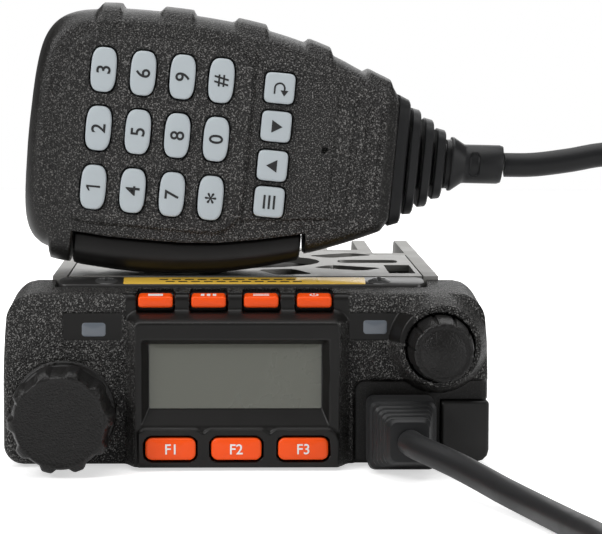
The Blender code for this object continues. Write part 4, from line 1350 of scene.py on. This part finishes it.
    def back_relief(self, u: Array, v: Array) -> tuple[Array, Array]:
        """Height of the plain back: a shallow raised panel, a dish round the stud and four
        screw wells, with a grain share of 1 all over."""
        out = 0.5 * inside(box_distance(u, v, (-4.0, 0.0), (24.0, 15.5), 6.0), 1.0)
        out -= 0.3 * inside(np.hypot(u, v - 2.0) - 8.5, 0.8)
        for centre in ((-27.0, -14.0), (-27.0, 15.0), (22.0, -11.0), (22.0, 12.0)):
            out -= 2.2 * inside(np.hypot(u - centre[0], v - centre[1]) - 2.2, 0.3)
        return out, np.ones_like(u)

    def shell(self, relief: Callable[[Array, Array], tuple[Array, Array]], side: float,
              columns: int, rows: int) -> Surface:
        """One half of the housing.

        Columns of points span the face's border at each u; the relief gives their height.
        From the border, rings run out to the housing's outline and down to the parting
        plane along a quarter of a superellipse. Pads on the top edge push the rings out.
        Rings next to the talk lever stop at the lip, or at the top of the lever's room.

        Args:
            relief: height and grain over the face.
            side: 1 for the half that faces forward, -1 for the back.
            columns, rows: size of the grid.

        Returns:
            The closed skin in the frame.
        """
        outer = self.outline()
        inner = self.inset(outer)
        u = np.linspace(inner[:, 0].min() + 0.02, inner[:, 0].max() - 0.02, columns)
        low, high = self.span(inner, u)
        inside_span = (u > self.lever_span[0]) & (u < self.lever_span[1])
        low = np.where(inside_span, np.maximum(low, self.lip(u) + 0.35), low)
        share = np.linspace(0.0, 1.0, rows)
        v = low[None, :] + (high - low)[None, :] * share[:, None]
        u = np.broadcast_to(u[None, :], v.shape)
        out, grain = relief(u, v)
        crown = 0.25 * (1 - (v / 24.0) ** 2)
        w = self.face + out + crown
        face = np.stack([u, v, w], axis=-1)
        border = face.reshape(-1, 3)[border_of(rows, columns)]
        target = self.nearest(border[:, :2], outer)
        rings, edge_grain = [], []
        for part in np.linspace(0.0, 1.0, 12)[1:]:
            swing = part * 0.5 * math.pi
            spread = math.sin(swing) ** 0.75
            flat = border[:, :2] + (target - border[:, :2]) * spread
            depth = self.seam + (border[:, 2] - self.seam) * math.cos(swing) ** 0.62
            push = self.edge_push(flat, depth, spread)
            flat, depth = flat + push[:, :2], depth + push[:, 2] * math.cos(swing)
            lip = self.lip(flat[:, 0])
            floor = np.where(depth > self.lever_half, lip, np.maximum(lip, self.room))
            held = (flat[:, 0] > self.lever_span[0]) & (flat[:, 0] < self.lever_span[1])
            flat[:, 1] = np.where(held, np.maximum(flat[:, 1], floor), flat[:, 1])
            rings.append(np.column_stack([flat, depth]))
            edge_grain.append(self.edge_grain(flat, spread))
        local = [face, *rings]
        for part in local:
            part[..., 2] *= side
        return Surface.from_face(self.to_frame(local[0]), [self.to_frame(r) for r in rings],
                                 grain * self.worn_grain(u), np.concatenate(edge_grain))

    @staticmethod
    def worn_grain(u: Array) -> Array:
        """Share of the grain that handling has left: 0.55 at the closed end, 1 from the
        middle of the keys on."""
        return 0.55 + 0.45 * smooth_step((u + 36.0) / 24.0)

    def edge_grain(self, flat: Array, spread: float) -> Array:
        """Grain of a ring's points: it fades from the face's border to the outline, most on the lower edge and
        at the closed end. On the lower edge the fade is painted shade: it takes the painted glints off a side
        that lies in shade."""
        # Painted shade: the grain, and with it the painted glints, fades most on the lower edge, which lies in
        # shade.
        lower = smooth_step((-12.0 - flat[:, 1]) / 4.0)
        end = smooth_step((-30.0 - flat[:, 0]) / 4.0)
        fade = np.maximum(0.55, np.maximum(0.95 * lower, 0.8 * end))
        return self.worn_grain(flat[:, 0]) * (1.0 - fade * min(1.0, 1.6 * spread))

    def edge_push(self, flat: Array, depth: Array, spread: float) -> Array:
        """What stands out on the housing's edge, as a push along u, v and w.

        The grip strip on the top edge rises 0.45 mm from the face's border; its finger pads
        push 1.1 mm up where u lies in a pad. The foot pushes down at the lower left.

        Args:
            flat: u and v of the ring's points.
            depth: their w.
            spread: how far the ring is from the face's border to the outline, 0 to 1.

        Returns:
            Pushes, one row a point.
        """
        u, v = flat[:, 0], flat[:, 1]
        push = np.zeros(len(flat))
        for low, high in self.bumps:
            half, centre = (high - low) / 2, (high + low) / 2
            push = np.maximum(push, inside(np.abs(u - centre) - half, 1.1))
        push *= (v > 8.0) * inside(depth - 11.6, 1.2) * min(1.0, spread * 2.2)
        centre, half = sum(self.strip) / 2, (self.strip[1] - self.strip[0]) / 2
        strip = 0.45 * (v > 8.0) * inside(np.abs(u - centre) - half, 0.8)
        start, end, drop = self.foot
        foot = drop * (v < -15.0) * smooth_step((u - start) / 0.5 + 0.5) * (u < end + 1.0)
        foot *= min(1.0, spread * 1.3)
        return np.stack([0.15 * push, 1.1 * push + 0.6 * strip - foot, strip], axis=-1)

    @staticmethod
    def nearest(points: Array, line: Array) -> Array:
        """The nearest point of a closed line to each point."""
        start, end = line, np.roll(line, -1, axis=0)
        step = end - start
        offset = points[:, None, :] - start[None]
        share = np.clip((offset * step[None]).sum(-1) / (step ** 2).sum(-1)[None], 0, 1)
        foot = start[None] + share[..., None] * step[None]
        best = np.linalg.norm(points[:, None, :] - foot, axis=-1).argmin(1)
        return foot[np.arange(len(points)), best]

    def build(self) -> None:
        """Make the shells, lever, keys, stud and strain relief."""
        front = self.shell(self.key_relief, 1.0, self.columns, self.rows)
        make_piece("mic_front_moulding", front, MIC_PLASTIC, "microphone",
                   ["mic_front_shell"], 50.0)
        back = self.shell(self.back_relief, -1.0, 150, 100)
        make_piece("mic_back_moulding", back, MIC_PLASTIC, "microphone",
                   ["mic_back_shell"], 50.0)
        self._lever()
        for node in KEYS:
            self._key(node)
        self._stud()
        self._strain_relief()

    def _lever(self) -> None:
        """The talk lever: a section across it at each u, whose top is the lip's line and
        whose bottom follows the lever's curve, with broad round lower corners."""
        along, bottom = np.array(self.lever_bottom).T
        u = np.concatenate([[along[0], along[0] + 0.25], np.linspace(along[0] + 0.8, 18.8, 40),
                            [19.05, 19.3]])
        low = np.interp(u, along, bottom)
        draw = np.interp(u, [u[0], u[1], u[2], u[-3], u[-2], u[-1]], [0.5, 0.12, 0, 0, 0.12, 0.5])
        top = self.lip(u) - 0.3 - 0.5 * draw
        low = low + draw
        half = 10.9 - draw
        round_low = np.minimum(4.5, 0.62 * (top - low))
        round_top = np.full(len(u), 0.6)
        sweep_angle = np.linspace(0.0, 0.5 * math.pi, 8)
        corners = []
        for side, end, radius, start in ((1, top, round_top, 0.0), (-1, top, round_top, 0.5),
                                         (-1, low, round_low, 1.0), (1, low, round_low, 1.5)):
            angle = sweep_angle + start * math.pi
            inward = -1.0 if end is top else 1.0
            w = side * (half - radius)[:, None] + radius[:, None] * np.cos(angle)[None, :]
            v = (end + inward * radius)[:, None] + radius[:, None] * np.sin(angle)[None, :]
            corners.append(np.stack([np.broadcast_to(u[:, None], v.shape), v, w], axis=-1))
        rings = self.to_frame(np.concatenate(corners, axis=1))
        make_piece("ptt_lever_moulding", Surface.from_rings(rings), SMOOTH_PLASTIC,
                   "ptt_lever", ["ptt_lever"], 30.0)

    def _key(self, node: str) -> None:
        """One key cap with its legend, tilted with the microphone."""
        local = self.to_local(middle(node))
        menu = node in MENU_MARKS
        half = MENU_KEY_HALF if menu else NUMBER_KEY_HALF
        power = KEY_POWER[menu]
        front = self.place[1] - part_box(node)[0].y / MM
        surface = crowned_cap(lambda inset: rounded_ring(half[0] - inset, half[1] - inset,
                                                         power, 72),
                              np.zeros(3), 0.05, 1.3, 0.45, 0.04)
        flat = surface.points
        surface.points = self.to_frame(np.column_stack([local[0] + flat[:, 0],
                                                        local[1] + flat[:, 2],
                                                        front - flat[:, 1]]))
        make_piece(node + "_cap", surface, KEY_PLASTIC, node, [node])
        angle = math.radians(self.tilt)
        along = (math.cos(angle), 0.0, -math.sin(angle))
        across = (math.sin(angle), 0.0, math.cos(angle))
        top = tuple(self.to_frame(np.array([local[0], local[1], front + 0.015])))
        face = Face(top, across, tuple(-value for value in along))
        if menu or node in DRAWN_MARKS:
            marks = MENU_MARKS[node] if menu else DRAWN_MARKS[node]
            printed_shape(node + "_mark", marks, face, BLACK_INK, node)
        else:
            mark = KEYS[node]
            size = 5.0 if mark == "*" else 4.0
            printed_text(node + "_mark", mark, size, face, BLACK_INK, node)

    def _stud(self) -> None:
        """The round hanging stud on the back."""
        centre = middle("hang_stud")
        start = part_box("hang_stud")[0].y / MM
        profile = [(-0.5, 4.0), (1.4, 4.0), (1.8, 4.6), (2.0, 5.9), (2.3, 6.2), (3.6, 6.2),
                   (4.1, 5.9), (4.4, 5.2), (4.4, 2.0), (4.2, 1.8), (4.2, 0.2)]
        make_piece("hang_stud_turned",
                   Surface.turned(profile, (centre[0], start, centre[2]), "Y", 48), NICKEL,
                   "microphone", ["hang_stud"])

    def _strain_relief(self) -> None:
        """The ribbed boot: rings of rounded rectangles whose half sizes step in and out along
        the cord, then a cone and a round sleeve with an oval pit in its front.

        A station is its distance along the microphone, its half height, its half depth and
        the power of its superellipse. The boot's middle follows boot_line."""
        stations = list(self.boot_base)
        for start, half in zip(self.rib_starts, self.rib_halves):
            stations += [(start - 0.45, half * 0.58, half * 0.56, 3),
                         (start - 0.4, half - 0.3, half - 0.5, 3.4),
                         (start - 0.1, half, half - 0.2, 3.4),
                         (start + 1.3, half - 0.25, half - 0.4, 3.4),
                         (start + 1.55, half - 0.6, half - 0.8, 3.4),
                         (start + 1.6, half * 0.58, half * 0.56, 3)]
        sleeve = self.sleeve_radius
        stations += self.boot_cone
        stations += [(along, sleeve, sleeve, 2) for along in np.linspace(52.6, 55.4, 15)]
        stations += [(59.2, sleeve, sleeve, 2), (59.9, 3.8, 3.8, 2), (60.0, 3.3, 3.3, 2)]
        rings, sides = [], 96
        for along, half_height, half_depth, power in stations:
            ring = rounded_ring(half_height, half_depth, power, sides)
            pit = box_distance(np.full(sides, along), ring[:, 0], self.pit_place,
                               self.pit_half, 1.0)
            depth = ring[:, 1] - self.pit_depth * inside(pit, 0.3) * (ring[:, 1] > 0)
            middle_line = float(np.interp(along, *np.array(self.boot_line).T))
            local = np.column_stack([np.full(sides, along), middle_line + ring[:, 0], depth])
            rings.append(self.to_frame(local))
        make_piece("mic_cord_boot", Surface.from_rings(np.array(rings)), RUBBER, "microphone",
                   ["mic_strain_relief"])


NUMBER_KEY_HALF = (2.55, 4.5)
MENU_KEY_HALF = (3.05, 3.1)
KEY_POWER = {False: 3.2, True: 6.0}
MENU_MARKS = {
    "key_menu": [bar((0, up), (1.4, 0.22)) for up in (1.0, 0.0, -1.0)],
    "key_up": [[(-1.3, -0.9), (1.3, -0.9), (0.0, 1.3)]],
    "key_down": [[(-1.3, 0.9), (0.0, -1.3), (1.3, 0.9)]],
    "key_back": [arc_band(1.0, 0.35, -90, 90), bar((-0.6, 1.0), (0.6, 0.17)),
                 [(-1.6, -1.0), (-0.4, -1.8), (-0.4, -0.2)], bar((-0.2, -1.0), (0.3, 0.17))],
}
DRAWN_MARKS = {"key_1": [bar((0.19, 0.0), (0.2, 1.42)),
                         [(-0.01, 1.42), (-0.75, 0.95), (-0.75, 0.58), (-0.01, 0.95)]]}
KEYS = {"key_%d" % digit: str(digit) for digit in range(10)}
KEYS.update({"key_star": "*", "key_hash": "#"})
KEYS.update({name: "" for name in MENU_MARKS})


# ------------------------------------------------------------------ cord and plug
@dataclass
class Lead:
    """The microphone's lead: two tails, the curly length between them and the plug's boot."""

    radius: float = 2.55
    coil_radius: float = 7.0
    turns: float = 19.5
    ease: float = 20.0
    mic_tail: tuple[tuple[float, float, float], ...] = (
        (54.0, -35.3, 60.3), (60.1, -35.3, 60.35), (67.5, -35.8, 61.3), (75.0, -36.5, 62.6),
        (84.0, -37.3, 62.5), (93.0, -38.0, 59.3), (101.0, -38.0, 52.4), (107.0, -36.8, 43.2),
        (111.5, -34.0, 33.0), (114.8, -31.0, 24.5), (116.6, -30.0, 18.1), (117.5, -31.5, 12.6),
        (117.9, -35.5, 8.6), (118.1, -41.0, 7.1), (118.0, -46.5, 7.1), (118.0, -52.0, 7.1))
    curly_ends: tuple[tuple[float, float, float], ...] = ((118.0, -52.6, 7.1),
                                                          (113.5, -170.0, 7.1))
    plug_tail: tuple[tuple[float, float, float], ...] = (
        (31.8, -75.3, 8.0), (32.9, -79.0, 7.7), (36.0, -84.0, 6.9), (39.9, -90.0, 5.8),
        (43.4, -97.0, 4.75), (47.0, -106.0, 3.8), (51.7, -118.5, 2.9), (55.8, -133.0, 2.6),
        (58.9, -145.5, 2.6), (61.6, -163.0, 2.6), (66.0, -182.0, 2.6), (75.0, -197.5, 2.6),
        (88.0, -203.5, 2.6), (101.0, -199.5, 2.9), (109.5, -189.0, 4.2), (113.2, -177.5, 6.2),
        (113.4, -170.3, 7.1))

    def helix(self) -> Array:
        """The curly length: a point circles the line between its ends. Over the first and
        the last stretch, of length ease, the circle's radius grows as the square root of a
        smooth step and the turning rate as the step itself, so no bend there is tighter than
        the cord allows."""
        start, end = (np.array(point) for point in self.curly_ends)
        along = end - start
        side = np.cross(along, [0.0, 0.0, 1.0])
        side /= np.linalg.norm(side)
        share = np.linspace(0.0, 1.0, int(self.turns * 60))
        opening = smooth_step(np.minimum(share, 1 - share) * np.linalg.norm(along) / self.ease)
        turned = np.cumsum(opening)
        turned = (turned - turned[0]) / (turned[-1] - turned[0])
        reach = (self.coil_radius - self.radius) * np.sqrt(opening)
        angle = 2 * np.pi * self.turns * turned
        around = (side[None, :] * np.cos(angle)[:, None]
                  + np.array([0.0, 0.0, 1.0])[None, :] * np.sin(angle)[:, None])
        return start + along[None, :] * share[:, None] + reach[:, None] * around

    def build(self) -> None:
        boot = self._boot()
        connector = soften("plug_connector", CLEAR_PLUG, "plug", 0.2)
        upper = np.vstack([smooth_route(self.mic_tail, 1.6), self.helix()])
        upper = even_points(upper, 1.1)
        self._cord("cord_from_microphone", upper, 14, ["cord_mic_tail", "cord_curly"])
        lower = smooth_route(self.plug_tail, 1.6)
        self._cord("cord_from_plug", lower, 20, ["cord_plug_tail"])

    def _cord(self, name: str, line: Array, sides: int, nodes: list[str]) -> None:
        surface = Surface.from_rings(sweep(line, self.radius, sides))
        piece = make_piece(name, surface, RUBBER, "", nodes, 60.0)
        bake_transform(piece)

    def _boot(self) -> bpy.types.Object:
        """The moulded boot: rounded rectangles that shrink in four ledges towards the cord."""
        stations = [(-56.35, 6.6, 6.75, 31.05, 7.8), (-56.6, 6.85, 7.0, 31.05, 7.8),
                    (-64.2, 6.85, 7.0, 31.05, 7.8), (-64.9, 6.6, 6.75, 31.1, 7.85),
                    (-65.2, 6.1, 6.3, 31.1, 7.9)]
        for ledge in range(4):
            depth = -65.5 - 2.1 * ledge
            half_x, half_z = 5.95 - 0.45 * ledge, 6.15 - 0.45 * ledge
            shift = 31.1 + 0.13 * ledge
            stations += [(depth, half_x, half_z, shift, 7.95),
                         (depth - 1.6, half_x - 0.1, half_z - 0.1, shift, 7.95),
                         (depth - 1.85, half_x - 0.3, half_z - 0.3, shift + 0.05, 7.95)]
        stations += [(-74.2, 4.2, 4.4, 31.7, 8.0), (-74.9, 3.8, 3.9, 31.8, 8.0),
                     (-75.0, 3.3, 3.4, 31.8, 8.0)]
        rings = []
        for depth, half_x, half_z, across, up in stations:
            ring = cornered_ring(half_x, half_z, min(1.5, half_x * 0.4), 7)
            rings.append(np.column_stack([across + ring[:, 0], np.full(len(ring), depth),
                                          up + ring[:, 1]]))
        return make_piece("plug_boot_moulding", Surface.from_rings(np.array(rings)), RUBBER,
                          "plug", ["plug_boot"], 30.0)


# ------------------------------------------------------------------ studio
@dataclass
class Studio:
    """Camera, pale floor and soft light."""

    eye: tuple[float, float, float] = (-4.39, -573.4, 86.3)
    turn: float = 1.703
    dip: float = 5.037
    roll: float = 0.173
    lens: float = 154.4
    floor_half: float = 0.9

    def camera(self) -> None:
        """The camera in front of the radio, looking slightly down and to the right."""
        data = bpy.data.cameras.new("camera")
        data.lens = self.lens
        data.sensor_width = 36.0
        data.clip_start = 0.01
        data.clip_end = 20.0
        thing = bpy.data.objects.new("camera", data)
        turn, dip, roll = (math.radians(x) for x in (self.turn, self.dip, self.roll))
        forward = Vector((math.sin(turn) * math.cos(dip), math.cos(turn) * math.cos(dip),
                          -math.sin(dip)))
        right = Vector((math.cos(turn), -math.sin(turn), 0.0))
        up = right.cross(forward)
        right, up = (right * math.cos(roll) + up * math.sin(roll),
                     up * math.cos(roll) - right * math.sin(roll))
        thing.matrix_world = Matrix((right, up, -forward)).transposed().to_4x4()
        thing.location = Vector(self.eye) * MM
        bpy.context.scene.collection.objects.link(thing)
        bpy.context.scene.camera = thing

    def floor(self) -> None:
        """A pale floor that fades into the background."""
        mesh = bpy.data.meshes.new("floor")
        half = self.floor_half
        mesh.from_pydata([(-half, -half, 0), (half, -half, 0), (half, half, 0), (-half, half, 0)],
                         [], [(0, 1, 2, 3)])
        thing = bpy.data.objects.new("floor", mesh)
        bpy.context.scene.collection.objects.link(thing)
        thing.location.z = -0.00005
        made = bpy.data.materials.new("floor_paper")
        made.use_nodes = True
        shader = made.node_tree.nodes["Principled BSDF"]
        shader.inputs["Base Color"].default_value = (0.93, 0.93, 0.93, 1)
        shader.inputs["Roughness"].default_value = 0.8
        shader.inputs["Emission Color"].default_value = (1, 1, 1, 1)
        tree = made.node_tree
        path = tree.nodes.new("ShaderNodeLightPath")
        glow = arithmetic(tree, "MULTIPLY", path.outputs["Is Camera Ray"], 0.5)
        tree.links.new(arithmetic(tree, "ADD", glow, 0.08), shader.inputs["Emission Strength"])
        thing.data.materials.append(made)

    def world(self) -> None:
        """A white background whose light on the object is dimmer than it looks."""
        world = bpy.data.worlds.new("studio")
        world.use_nodes = True
        bpy.context.scene.world = world
        tree = world.node_tree
        ground = tree.nodes["Background"]
        path = tree.nodes.new("ShaderNodeLightPath")
        strength = tree.nodes.new("ShaderNodeMapRange")
        strength.inputs["To Min"].default_value = 0.13
        strength.inputs["To Max"].default_value = 1.0
        tree.links.new(path.outputs["Is Camera Ray"], strength.inputs["Value"])
        ground.inputs["Color"].default_value = (1, 1, 1, 1)
        tree.links.new(strength.outputs["Result"], ground.inputs["Strength"])

    def lights(self) -> None:
        """Four soft square lights that look at the object: overhead, high at the left, low
        at the right and from behind."""
        for name, place, size, power in (
                ("overhead", (-0.05, 0.05, 0.8), 0.9, 6.0),
                ("left_key", (-0.55, -0.45, 0.5), 0.35, 3.4),
                ("right_fill", (0.6, -0.5, 0.25), 0.4, 1.5),
                ("back_light", (0.1, 0.8, 0.4), 0.6, 1.6)):
            data = bpy.data.lights.new(name, "AREA")
            data.size = size
            data.energy = power
            thing = bpy.data.objects.new(name, data)
            thing.location = place
            thing.rotation_euler = (Vector((0, 0, 0.03)) - Vector(place)).to_track_quat(
                "-Z", "Y").to_euler()
            bpy.context.scene.collection.objects.link(thing)

    def build(self) -> None:
        """Set up the whole studio."""
        self.camera()
        self.floor()
        self.world()
        self.lights()
        bpy.context.scene.view_settings.view_transform = "Standard"


def main() -> None:
    """Build every sub-assembly in order."""
    logging.basicConfig(level=logging.INFO, format="%(name)s %(message)s")
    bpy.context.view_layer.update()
    Studio().build()
    Lead().build()
    panel = FrontPanel()
    panel.build()
    panel.build_glass()
    Controls().build()
    RadioBody().build()
    Microphone().build()


if __name__ == "__main__":
    main()
